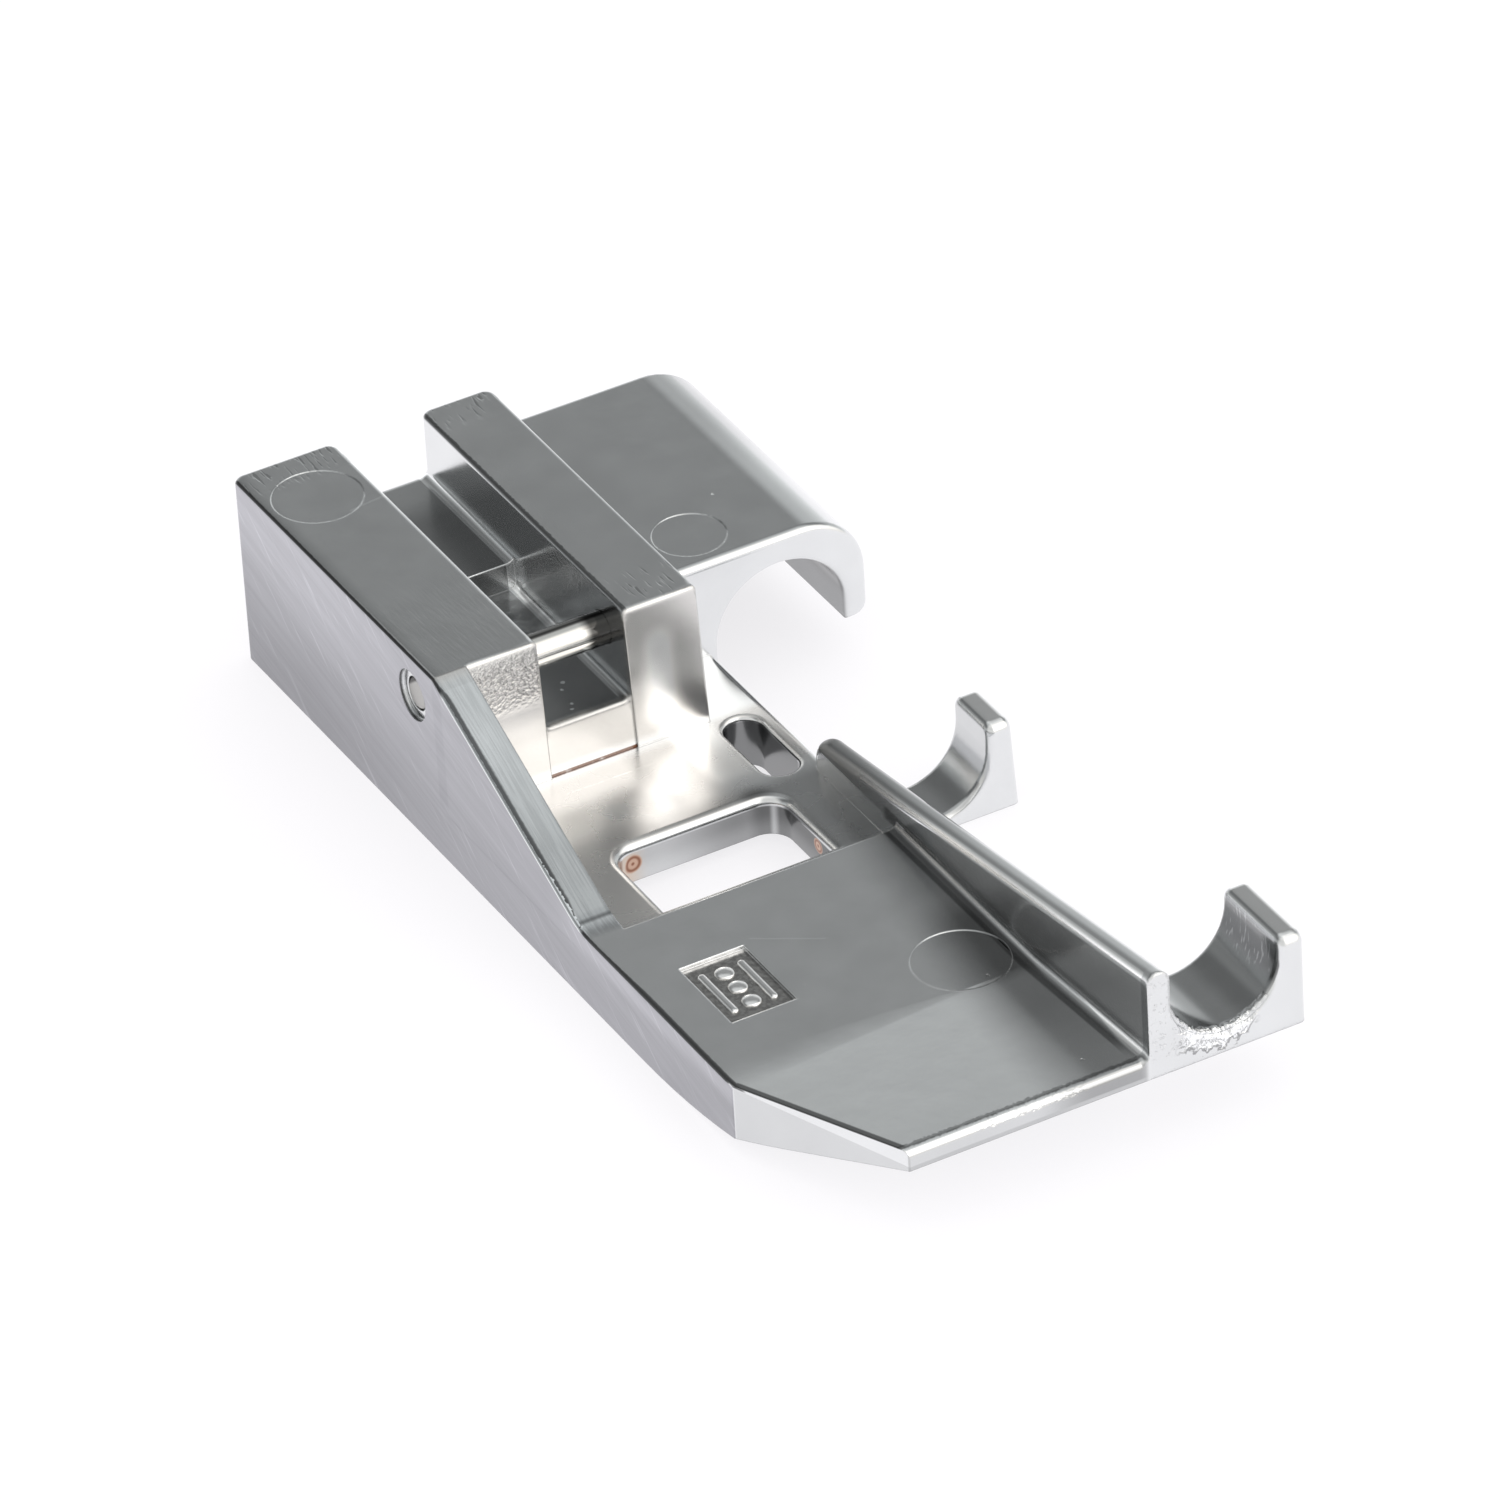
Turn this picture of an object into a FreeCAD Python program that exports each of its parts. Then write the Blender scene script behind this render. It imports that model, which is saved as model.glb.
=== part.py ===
import FreeCAD, Part
import math
import os

import Sketcher
from FreeCAD import Vector

# Beading presser foot: a die-cast body and a steel cross pin.
# Sizes are in millimetres. "across" counts from the flat machined side, "back" counts from the
# rear face towards the toe, and heights count from the sole.
SIZES = {
    # outline
    "foot_length": 44.0,
    "foot_width": 19.40,
    # the two rails that the ankle of the machine clips between
    "rail_height": 7.77,
    "rail_length": 15.42,
    "front_draft": 0.50,
    "left_rail_width": 4.23,
    "groove_width": 3.52,
    "right_rail_width": 2.95,
    "groove_depth": 2.65,
    "groove_step": 6.98,
    "step_lean": 0.12,
    "pocket_depth": 3.71,
    "sill_set_back": 0.10,
    # sloping wall that runs from the left rail down to the toe
    "gusset_width": 1.41,
    "gusset_runout": 0.25,
    "gusset_foot_radius": 3.0,
    # base plate around the needle
    "plate_top": 2.10,
    "plate_set_back": 0.25,
    # toe plate
    "toe_gap": 0.20,
    "toe_nose_radius": 0.95,
    "toe_top": 2.95,
    "toe_tip_length": 7.85,
    "toe_tip_top": 3.55,
    "toe_corner_length": 7.40,
    "toe_corner_width": 2.85,
    # upturned underside of the toe
    "toe_upturn": 14.0,
    "sole_radius": 32.0,
    "sole_slope_angle": 15.9,
    # fin that guides the edge of the cloth
    "fin_thickness": 0.88,
    "fin_overlap": 0.02,
    "fin_gap": 0.10,
    "fin_rear_top": 3.50,
    "fin_rear_radius": 1.05,
    "fin_tip_top": 7.08,
    # half-round channels for the bead
    "channel_radius": 2.22,
    "hook_wall": 1.00,
    "hook_inset": 0.68,
    "front_hook_length": 3.95,
    "front_hook_top": 6.48,
    "front_channel_height": 5.91,
    "rear_hook_lead": 0.90,
    "rear_hook_length": 2.60,
    "rear_hook_spread": 0.20,
    "rear_hook_top": 3.68,
    "rear_channel_height": 2.73,
    # hood that the bead leaves through
    "hood_length": 12.20,
    "hood_top": 6.05,
    "hood_bore_height": 2.17,
    "hood_bore_radius": 2.65,
    "hood_shoulder_radius": 2.60,
    "hood_lip_thickness": 0.90,
    "hood_lip_bottom": 1.38,
    "hood_lip_radius": 0.60,
    # needle slot
    "needle_slot_across": 3.75,
    "needle_slot_border": 1.87,
    "needle_slot_lead": 0.75,
    "needle_slot_length": 4.20,
    "needle_slot_corner": 0.90,
    "needle_slot_draft": 1.0,
    "relief_depth": 0.50,
    "relief_border": 0.80,
    # oval slot
    "oval_slot_inset": 0.70,
    "oval_slot_width": 1.50,
    "oval_slot_gap": 0.33,
    "oval_slot_length": 4.0,
    # sunk panel for the foot's sign
    "panel_across": 1.83,
    "panel_width": 2.60,
    "panel_lead": 4.12,
    "panel_length": 3.78,
    "panel_depth": 0.16,
    # ejector marks
    "rail_mark_across": 2.06,
    "rail_mark_back": 2.87,
    "rail_mark_radius": 1.70,
    "hood_mark_inset": 2.55,
    "hood_mark_set_back": 1.95,
    "hood_mark_radius": 1.38,
    "toe_mark_inset": 2.09,
    "toe_mark_set_back": 9.41,
    "toe_mark_radius": 1.80,
    "mark_depth": 0.03,
    # cross pin
    "pin_diameter": 1.30,
    "pin_set_back": 1.68,
    "pin_drop": 1.67,
    "pin_recess": 0.19,
    "pin_seat": 1.60,
    "pin_fit": 0.01,
    "pin_end_bevel": 0.10,
    "pin_mouth_diameter": 2.0,
    # rounded edges
    "casting_edge": 0.18,
    "rail_corner": 0.45,
    "groove_fillet": 0.28,
    "hood_edge": 0.30,
    "fin_edge": 0.42,
    "fin_foot": 0.36,
    "hook_edge": 0.30,
    "hook_corner": 0.45,
    "plate_edge": 0.35,
    "needle_rim": 0.38,
    "oval_rim": 0.20,
    "tip_edge": 0.36,
}

doc = FreeCAD.newDocument("presser_foot")
sheet = doc.addObject("Spreadsheet::Sheet", "Sizes")
for row, (size_name, size) in enumerate(SIZES.items(), start=1):
    sheet.set("A%d" % row, size_name)
    sheet.set("B%d" % row, str(size))
    sheet.setAlias("B%d" % row, size_name)
doc.recompute()

MARGIN = 1.0
NEAR = 0.02


def worth(expression):
    """The number that an expression on the sheet gives now."""
    value = sheet.evalExpression(expression)
    return float(getattr(value, "Value", value))


def cell(size_name):
    """A cell of the sheet, as expressions call it."""
    return "Sizes." + size_name


def new_body(label):
    """A body whose frame has its corner at the machined side, the rear face and the sole."""
    body = doc.addObject("PartDesign::Body", label)
    body.Label = label
    body.setExpression("Placement.Base.x", "-Sizes.foot_width / 2")
    body.setExpression("Placement.Base.y", "Sizes.foot_length / 2")
    return body


def origin_plane(body, role):
    """One of the body's own origin planes."""
    for plane in body.Origin.OriginFeatures:
        if plane.Role == role:
            return plane
    raise ValueError("no plane " + role)


def new_sketch(body, name, role, offset="0"):
    """An empty sketch on an origin plane, moved along its normal."""
    sketch = body.newObject("Sketcher::SketchObject", name)
    sketch.AttachmentSupport = [(origin_plane(body, role), "")]
    sketch.MapMode = "FlatFace"
    sketch.setExpression("AttachmentOffset.Base.z", offset)
    return sketch


def bind(sketch, constraint, expression):
    """Add a sizing constraint and tie it to an expression."""
    index = sketch.addConstraint(constraint)
    sketch.setExpression("Constraints[%d]" % index, expression)


def arc_between(start, end, radius, bulge):
    """The arc of this radius from start to end, left of its chord where bulge is +1, right at -1."""
    chord = end - start
    middle = (start + end) * 0.5
    side = Vector(-chord.y, chord.x, 0)
    side.normalize()
    height = math.sqrt(max(radius * radius - chord.Length * chord.Length / 4, 0))
    centre = middle - side * (bulge * height)
    first = math.atan2(start.y - centre.y, start.x - centre.x)
    last = math.atan2(end.y - centre.y, end.x - centre.x)
    circle = Part.Circle(centre, Vector(0, 0, 1), radius)
    if bulge > 0:
        return Part.ArcOfCircle(circle, last, first)
    return Part.ArcOfCircle(circle, first, last)


def draw_profile(sketch, corners):
    """Draw a closed outline through corners.

    A corner is (x, y) where a straight edge leaves it, or (x, y, radius, bulge) where an arc does.
    Every corner and radius is tied to its expression.
    """
    points = [Vector(worth(corner[0]), worth(corner[1]), 0) for corner in corners]
    count = len(corners)
    starts = []
    ends = []
    for index, corner in enumerate(corners):
        here = points[index]
        there = points[(index + 1) % count]
        if len(corner) == 2:
            edge = sketch.addGeometry(Part.LineSegment(here, there))
            starts.append((edge, 1))
            ends.append((edge, 2))
            continue
        radius, bulge = corner[2], corner[3]
        edge = sketch.addGeometry(arc_between(here, there, worth(radius), bulge))
        starts.append((edge, 2 if bulge > 0 else 1))
        ends.append((edge, 1 if bulge > 0 else 2))
    for index in range(count):
        following = (index + 1) % count
        sketch.addConstraint(Sketcher.Constraint("Coincident", *ends[index], *starts[following]))
    for index, corner in enumerate(corners):
        edge, vertex = starts[index]
        bind(sketch, Sketcher.Constraint("DistanceX", -1, 1, edge, vertex, points[index].x), corner[0])
        bind(sketch, Sketcher.Constraint("DistanceY", -1, 1, edge, vertex, points[index].y), corner[1])
        if len(corner) == 4:
            bind(sketch, Sketcher.Constraint("Radius", edge, worth(corner[2])), corner[2])


def draw_circle(sketch, x, y, radius):
    """Draw one circle, tied to its expressions."""
    centre = Vector(worth(x), worth(y), 0)
    edge = sketch.addGeometry(Part.Circle(centre, Vector(0, 0, 1), worth(radius)))
    bind(sketch, Sketcher.Constraint("DistanceX", -1, 1, edge, 3, centre.x), x)
    bind(sketch, Sketcher.Constraint("DistanceY", -1, 1, edge, 3, centre.y), y)
    bind(sketch, Sketcher.Constraint("Radius", edge, worth(radius)), radius)


def pad(body, sketch, name, length):
    """Add material from a sketch along its normal."""
    feature = body.newObject("PartDesign::Pad", name)
    feature.Profile = sketch
    feature.setExpression("Length", length)
    doc.recompute()
    return feature


def cut(body, sketch, name, length="", reverse=False, draft=""):
    """Take material away from a sketch, and make sure that some was there."""
    before = body.Shape.Volume
    feature = body.newObject("PartDesign::Pocket", name)
    feature.Profile = sketch
    feature.Reversed = reverse
    if length:
        feature.setExpression("Length", length)
    else:
        feature.Type = "ThroughAll"
        feature.Midplane = True
    if draft:
        feature.setExpression("TaperAngle", draft)
    doc.recompute()
    if not body.Shape.Volume < before:
        raise ValueError(name + " cuts nothing")
    return feature


def dress_edges(body, kind, measure, name, size, wanted):
    """Fillet or chamfer the edges of the body that wanted(edge, low corner, high corner) picks."""
    base = body.Tip
    shift = body.Placement.Base
    picked = []
    for index, edge in enumerate(base.Shape.Edges, start=1):
        box = edge.BoundBox
        low = Vector(box.XMin, box.YMin, box.ZMin)
        high = Vector(box.XMax, box.YMax, box.ZMax)
        if base.Shape.Placement.Base.Length > 0:
            low = low - shift
            high = high - shift
        if wanted(edge, low, high):
            picked.append("Edge%d" % index)
    if not picked:
        raise ValueError(name + " finds no edge")
    feature = body.newObject(kind, name)
    feature.Base = (base, picked)
    feature.setExpression(measure, cell(size))
    doc.recompute()
    return feature


def round_edges(body, name, radius, wanted):
    """Fillet the picked edges."""
    return dress_edges(body, "PartDesign::Fillet", "Radius", name, radius, wanted)


def bevel_edges(body, name, size, wanted):
    """Chamfer the picked edges."""
    return dress_edges(body, "PartDesign::Chamfer", "Size", name, size, wanted)


def same(first, second):
    """Whether two lengths agree."""
    return abs(first - second) < NEAR


# Places that several features share, first across the foot
RAILS_SIDE = "(Sizes.left_rail_width + Sizes.groove_width + Sizes.right_rail_width)"
GROOVE_SIDE = "(Sizes.left_rail_width + Sizes.groove_width)"
BORE_RIGHT = "(Sizes.foot_width - Sizes.hood_lip_thickness)"
BORE_ACROSS = "(%s - Sizes.hood_bore_radius)" % BORE_RIGHT
BORE_LEFT = "(%s - Sizes.hood_bore_radius)" % BORE_ACROSS
PLATE_SIDE = "(%s - Sizes.plate_set_back)" % BORE_LEFT
HOOK_SIDE = "(Sizes.foot_width - Sizes.hook_inset)"
CHANNEL_RIGHT = "(%s - Sizes.hook_wall)" % HOOK_SIDE
CHANNEL_ACROSS = "(%s - Sizes.channel_radius)" % CHANNEL_RIGHT
CHANNEL_LEFT = "(%s - Sizes.channel_radius)" % CHANNEL_ACROSS
FIN_SIDE = "(%s + Sizes.fin_overlap)" % CHANNEL_LEFT
FIN_LEFT = "(%s - Sizes.fin_thickness)" % FIN_SIDE
NEEDLE_RIGHT = "(%s - Sizes.needle_slot_border)" % FIN_LEFT
OVAL_RIGHT = "(%s - Sizes.oval_slot_inset)" % PLATE_SIDE
OVAL_LEFT = "(%s - Sizes.oval_slot_width)" % OVAL_RIGHT

# then along it
FRONT_FOOT = "(Sizes.rail_length + Sizes.front_draft)"
OVAL_BACK = "(%s + Sizes.oval_slot_gap)" % FRONT_FOOT
FIN_START = "(%s + Sizes.oval_slot_length + Sizes.fin_gap)" % OVAL_BACK
NEEDLE_BACK = "(%s + Sizes.needle_slot_lead)" % FIN_START
NEEDLE_FRONT = "(%s + Sizes.needle_slot_length)" % NEEDLE_BACK
TOE_START = "(%s + Sizes.toe_gap)" % NEEDLE_FRONT
GUSSET_FOOT = "(%s + Sizes.gusset_runout)" % TOE_START
PANEL_BACK = "(%s + Sizes.panel_lead)" % TOE_START
PANEL_FRONT = "(%s + Sizes.panel_length)" % PANEL_BACK
TOE_BEND = "(Sizes.foot_length - Sizes.toe_tip_length)"
SOLE_END = "(Sizes.foot_length - Sizes.toe_upturn)"
PIN_BACK = "(Sizes.rail_length - Sizes.pin_set_back)"

# heights and slopes
GROOVE_FLOOR = "(Sizes.rail_height - Sizes.groove_depth)"
POCKET_FLOOR = "(Sizes.rail_height - Sizes.pocket_depth)"
PIN_HEIGHT = "(Sizes.rail_height - Sizes.pin_drop)"
GUSSET_ANGLE = "atan((Sizes.rail_height - Sizes.toe_top) / (%s - Sizes.rail_length))" % GUSSET_FOOT
GUSSET_TURN = "(Sizes.gusset_foot_radius * tan(%s / 2))" % GUSSET_ANGLE
TOE_RISE = "(Sizes.toe_top - Sizes.plate_top)"
TOE_FLAT = "(%s + sqrt(%s * (2 * Sizes.toe_nose_radius - %s)))" % (TOE_START, TOE_RISE, TOE_RISE)


def add_base(body):
    """Base plate and toe plate, drawn from the side."""
    tip = cell("tip_edge")
    tip_slope = "(Sizes.toe_tip_top - Sizes.toe_top) / Sizes.toe_tip_length"
    tip_shoulder = "Sizes.toe_tip_top - %s * %s" % (tip, tip_slope)
    sketch = new_sketch(body, "base_side", "YZ_Plane")
    draw_profile(sketch, [
        ("-Sizes.foot_length", "0"),
        ("0", "0"),
        ("0", "Sizes.plate_top"),
        ("-" + TOE_START, "Sizes.plate_top", cell("toe_nose_radius"), 1),
        ("-" + TOE_FLAT, "Sizes.toe_top"),
        ("-" + TOE_BEND, "Sizes.toe_top"),
        ("-(Sizes.foot_length - %s)" % tip, tip_shoulder, tip, -1),
        ("-Sizes.foot_length", "Sizes.toe_tip_top - " + tip),
    ])
    pad(body, sketch, "base", PLATE_SIDE)


def add_rails(body):
    """The block that both rails are cut from. Its front leans forward as it goes down."""
    sketch = new_sketch(body, "rails_side", "YZ_Plane")
    draw_profile(sketch, [
        ("-" + FRONT_FOOT, "0"),
        ("0", "0"),
        ("0", "Sizes.rail_height"),
        ("-Sizes.rail_length", "Sizes.rail_height"),
        ("-" + FRONT_FOOT, "Sizes.plate_top"),
    ])
    pad(body, sketch, "rails", RAILS_SIDE)


def add_gusset(body):
    """The wall at the machined side, which slopes down and runs out onto the toe in a wide curve."""
    curve_top = "-(%s - %s * cos(%s))" % (GUSSET_FOOT, GUSSET_TURN, GUSSET_ANGLE)
    curve_height = "Sizes.toe_top + %s * sin(%s)" % (GUSSET_TURN, GUSSET_ANGLE)
    sketch = new_sketch(body, "gusset_side", "YZ_Plane")
    draw_profile(sketch, [
        ("-(%s + Sizes.gusset_foot_radius)" % TOE_FLAT, "0"),
        ("0", "0"),
        ("0", "Sizes.rail_height"),
        ("-Sizes.rail_length", "Sizes.rail_height"),
        (curve_top, curve_height, cell("gusset_foot_radius"), 1),
        ("-(%s + %s)" % (GUSSET_FOOT, GUSSET_TURN), "Sizes.toe_top"),
        ("-(%s + Sizes.gusset_foot_radius)" % TOE_FLAT, "Sizes.toe_top"),
    ])
    pad(body, sketch, "gusset", cell("gusset_width"))


def cut_groove(body):
    """The groove for the ankle: a floor at the rear, a lower pocket under the pin, and a sill."""
    front = "-(%s + %g)" % (FRONT_FOOT, MARGIN)
    above = "Sizes.rail_height + %g" % MARGIN
    lean = "Sizes.pocket_depth / (Sizes.rail_height - Sizes.plate_top)"
    sill = "-(Sizes.rail_length + Sizes.front_draft * %s - Sizes.sill_set_back)" % lean
    sketch = new_sketch(body, "groove_side", "YZ_Plane", cell("left_rail_width"))
    draw_profile(sketch, [
        (front, "Sizes.plate_top"),
        ("-(%s - Sizes.sill_set_back)" % FRONT_FOOT, "Sizes.plate_top"),
        (sill, POCKET_FLOOR),
        ("-(Sizes.groove_step + Sizes.step_lean)", POCKET_FLOOR),
        ("-Sizes.groove_step", GROOVE_FLOOR),
        ("%g" % MARGIN, GROOVE_FLOOR),
        ("%g" % MARGIN, above),
        (front, above),
    ])
    cut(body, sketch, "groove", cell("groove_width"), reverse=True)


def add_hood(body):
    """The hood over the bead: a thick top, a round shoulder and a lip that curls down outside."""
    root = "Sizes.left_rail_width + Sizes.groove_width + Sizes.right_rail_width / 2"
    bore_top = "Sizes.hood_bore_height + Sizes.hood_bore_radius"
    shoulder = cell("hood_shoulder_radius")
    sketch = new_sketch(body, "hood_front", "XZ_Plane")
    draw_profile(sketch, [
        (root, "0"),
        (BORE_LEFT, "0"),
        (BORE_LEFT, "Sizes.hood_bore_height", cell("hood_bore_radius"), 1),
        (BORE_ACROSS, bore_top, cell("hood_bore_radius"), 1),
        (BORE_RIGHT, "Sizes.hood_bore_height"),
        (BORE_RIGHT, "Sizes.hood_lip_bottom"),
        ("Sizes.foot_width - Sizes.hood_lip_radius", "Sizes.hood_lip_bottom", cell("hood_lip_radius"), -1),
        ("Sizes.foot_width", "Sizes.hood_lip_bottom + Sizes.hood_lip_radius"),
        ("Sizes.foot_width", "Sizes.hood_top - " + shoulder, shoulder, -1),
        ("Sizes.foot_width - " + shoulder, "Sizes.hood_top"),
        (root, "Sizes.hood_top"),
    ])
    pad(body, sketch, "hood", cell("hood_length"))


def add_fin(body):
    """The fin: its top climbs towards the toe, and its rear end is round."""
    shoulder = "Sizes.fin_rear_top - Sizes.fin_rear_radius"
    sketch = new_sketch(body, "fin_side", "YZ_Plane", FIN_LEFT)
    draw_profile(sketch, [
        ("-Sizes.foot_length", "0"),
        ("-" + FIN_START, "0"),
        ("-" + FIN_START, shoulder, cell("fin_rear_radius"), -1),
        ("-(%s + Sizes.fin_rear_radius)" % FIN_START, "Sizes.fin_rear_top"),
        ("-Sizes.foot_length", "Sizes.fin_tip_top"),
    ])
    pad(body, sketch, "fin", cell("fin_thickness"))


def add_hook(body, name, back, length, top, channel_height, spread="0"):
    """A hook beside the fin: a block with a half-round channel and an outer wall that may spread below."""
    radius = cell("channel_radius")
    root = "%s + Sizes.fin_thickness / 2" % FIN_LEFT
    sketch = new_sketch(body, name + "_front", "XZ_Plane", back)
    draw_profile(sketch, [
        (root, "0"),
        ("%s + %s" % (HOOK_SIDE, spread), "0"),
        (HOOK_SIDE, top),
        (CHANNEL_RIGHT, top),
        (CHANNEL_RIGHT, channel_height, radius, 1),
        (CHANNEL_ACROSS, "%s - %s" % (channel_height, radius), radius, 1),
        (CHANNEL_LEFT, channel_height),
        (root, channel_height),
    ])
    pad(body, sketch, name, length)


def cut_underside(body):
    """The underside: flat under the needle, then an arc and a straight slope up to the toe."""
    slope = "Sizes.sole_slope_angle"
    arc_end = "(%s + Sizes.sole_radius * sin(%s))" % (SOLE_END, slope)
    arc_height = "(Sizes.sole_radius * (1 - cos(%s)))" % slope
    front = "(Sizes.foot_length + %g)" % MARGIN
    front_height = "%s + (%s - %s) * tan(%s)" % (arc_height, front, arc_end, slope)
    sketch = new_sketch(body, "underside_side", "YZ_Plane")
    draw_profile(sketch, [
        ("-" + front, "-%g" % MARGIN),
        ("-" + SOLE_END, "-%g" % MARGIN),
        ("-" + SOLE_END, "0", cell("sole_radius"), 1),
        ("-" + arc_end, arc_height),
        ("-" + front, front_height),
    ])
    cut(body, sketch, "underside")


def cut_toe_corner(body):
    """The slanted corner at the machined side of the toe."""
    start = "-(Sizes.foot_length - Sizes.toe_corner_length)"
    front = "-(Sizes.foot_length + %g)" % MARGIN
    sketch = new_sketch(body, "toe_corner_top", "XY_Plane")
    draw_profile(sketch, [
        ("-%g" % MARGIN, start),
        ("-%g" % MARGIN, front),
        ("Sizes.toe_corner_width", front),
        ("Sizes.toe_corner_width", "-Sizes.foot_length"),
        ("0", start),
    ])
    cut(body, sketch, "toe_corner")


def cut_needle_slot(body):
    """The needle slot, with round rear corners, wider below than above."""
    sketch = new_sketch(body, "needle_slot_top", "XY_Plane", cell("plate_top"))
    left = "Sizes.needle_slot_across"
    front = "-" + NEEDLE_FRONT
    back = "-" + NEEDLE_BACK
    corner = cell("needle_slot_corner")
    draw_profile(sketch, [
        (left, front),
        (NEEDLE_RIGHT, front),
        (NEEDLE_RIGHT, "%s - %s" % (back, corner), corner, -1),
        ("%s - %s" % (NEEDLE_RIGHT, corner), back),
        ("%s + %s" % (left, corner), back, corner, -1),
        (left, "%s - %s" % (back, corner)),
    ])
    length = "Sizes.plate_top + %g" % MARGIN
    cut(body, sketch, "needle_slot", length, draft=cell("needle_slot_draft"))


def cut_relief(body):
    """The shallow relief in the sole around the needle slot."""
    left = "Sizes.needle_slot_across - Sizes.relief_border"
    right = "%s + Sizes.relief_border" % NEEDLE_RIGHT
    back = "-(%s - Sizes.relief_border)" % NEEDLE_BACK
    front = "-(%s + Sizes.relief_border)" % NEEDLE_FRONT
    sketch = new_sketch(body, "relief_top", "XY_Plane")
    draw_profile(sketch, [
        (left, front),
        (right, front),
        (right, back),
        (left, back),
    ])
    cut(body, sketch, "relief", cell("relief_depth"), reverse=True)


def cut_oval_slot(body):
    """The oval slot between the right rail and the fin."""
    radius = "Sizes.oval_slot_width / 2"
    middle = "%s + %s" % (OVAL_LEFT, radius)
    back = "-" + OVAL_BACK
    front = "-(%s + Sizes.oval_slot_length)" % OVAL_BACK
    back_centre = "%s - %s" % (back, radius)
    front_centre = "%s + %s" % (front, radius)
    sketch = new_sketch(body, "oval_slot_top", "XY_Plane", cell("plate_top"))
    draw_profile(sketch, [
        (OVAL_LEFT, front_centre, radius, -1),
        (middle, front, radius, -1),
        (OVAL_RIGHT, front_centre),
        (OVAL_RIGHT, back_centre, radius, -1),
        (middle, back, radius, -1),
        (OVAL_LEFT, back_centre),
    ])
    cut(body, sketch, "oval_slot")


def cut_panel(body):
    """The sunk panel where the foot's sign stands."""
    sketch = new_sketch(body, "panel_top", "XY_Plane", cell("toe_top"))
    draw_profile(sketch, [
        ("Sizes.panel_across", "-" + PANEL_FRONT),
        ("Sizes.panel_across + Sizes.panel_width", "-" + PANEL_FRONT),
        ("Sizes.panel_across + Sizes.panel_width", "-" + PANEL_BACK),
        ("Sizes.panel_across", "-" + PANEL_BACK),
    ])
    cut(body, sketch, "panel", cell("panel_depth"))


def cut_mark(body, name, height, across, back, radius):
    """The round mark that an ejector pin leaves in the casting."""
    sketch = new_sketch(body, name + "_top", "XY_Plane", height)
    draw_circle(sketch, across, "-(%s)" % back, radius)
    cut(body, sketch, name, cell("mark_depth"))


def cut_pin_hole(body):
    """The blind hole for the cross pin, and its wider mouth in the machined side."""
    depth = "%s + Sizes.pin_seat" % GROOVE_SIDE
    sketch = new_sketch(body, "pin_hole_side", "YZ_Plane")
    draw_circle(sketch, "-" + PIN_BACK, PIN_HEIGHT, "(Sizes.pin_diameter + Sizes.pin_fit) / 2")
    cut(body, sketch, "pin_hole", depth, reverse=True)
    mouth = new_sketch(body, "pin_mouth_side", "YZ_Plane")
    draw_circle(mouth, "-" + PIN_BACK, PIN_HEIGHT, "Sizes.pin_mouth_diameter / 2")
    cut(body, mouth, "pin_mouth", cell("pin_recess"), reverse=True)


def level(low, high, height):
    """Whether an edge lies flat at a height."""
    return same(low.z, height) and same(high.z, height)


def round_groove(body):
    """Soft inner corners where the groove's walls meet its floors."""
    walls = (worth("Sizes.left_rail_width"), worth(GROOVE_SIDE))
    floors = (worth(GROOVE_FLOOR), worth(POCKET_FLOOR))

    def wanted(edge, low, high):
        on_wall = same(low.x, high.x) and any(same(low.x, wall) for wall in walls)
        return on_wall and any(level(low, high, floor) for floor in floors)

    round_edges(body, "groove_fillets", "groove_fillet", wanted)


def round_hooks(body):
    """The rounded tops of the hooks' outer walls."""
    inner = worth(CHANNEL_RIGHT)
    outer = worth(HOOK_SIDE)
    tops = (worth("Sizes.front_hook_top"), worth("Sizes.rear_hook_top"))

    def wanted(edge, low, high):
        on_wall = low.x > inner - NEAR and high.x < outer + NEAR
        return on_wall and any(level(low, high, top) for top in tops)

    round_edges(body, "hook_fillets", "hook_edge", wanted)


def round_fin(body):
    """The rounded crest of the fin, over its rear end too, and the soft foot along the toe plate."""
    left = worth(FIN_LEFT)
    right = worth(FIN_SIDE)
    rear_top = worth("Sizes.fin_rear_top")
    toe_top = worth("Sizes.toe_top")
    toe_tip_top = worth("Sizes.toe_tip_top")

    def on_crest(edge, low, high):
        on_side = same(low.x, high.x) and (same(low.x, left) or same(low.x, right))
        along = high.y - low.y > MARGIN and high.z > toe_tip_top + NEAR
        over_rear = same(high.z, rear_top) and low.z < rear_top - NEAR
        return on_side and (along or over_rear)

    def on_foot(edge, low, high):
        on_side = same(low.x, left) and same(high.x, left) and high.y - low.y > MARGIN
        return on_side and low.z > toe_top - NEAR and high.z < toe_tip_top + NEAR

    round_edges(body, "fin_fillets", "fin_edge", on_crest)
    round_edges(body, "fin_foot_fillets", "fin_foot", on_foot)


def round_hood(body):
    """The rounded front and rear rims of the hood."""
    front = -worth("Sizes.hood_length")
    rails_side = worth(RAILS_SIDE)
    hood_top = worth("Sizes.hood_top")
    bore_height = worth("Sizes.hood_bore_height")
    bore_right = worth(BORE_RIGHT)

    def wanted(edge, low, high):
        on_end = same(low.y, high.y) and (same(low.y, front) or same(low.y, 0))
        on_hood = high.x > rails_side + NEAR and low.x > rails_side - NEAR and high.z < hood_top + NEAR
        return on_end and on_hood and (high.z > bore_height + NEAR or low.x > bore_right - NEAR)

    round_edges(body, "hood_fillets", "hood_edge", wanted)


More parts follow.
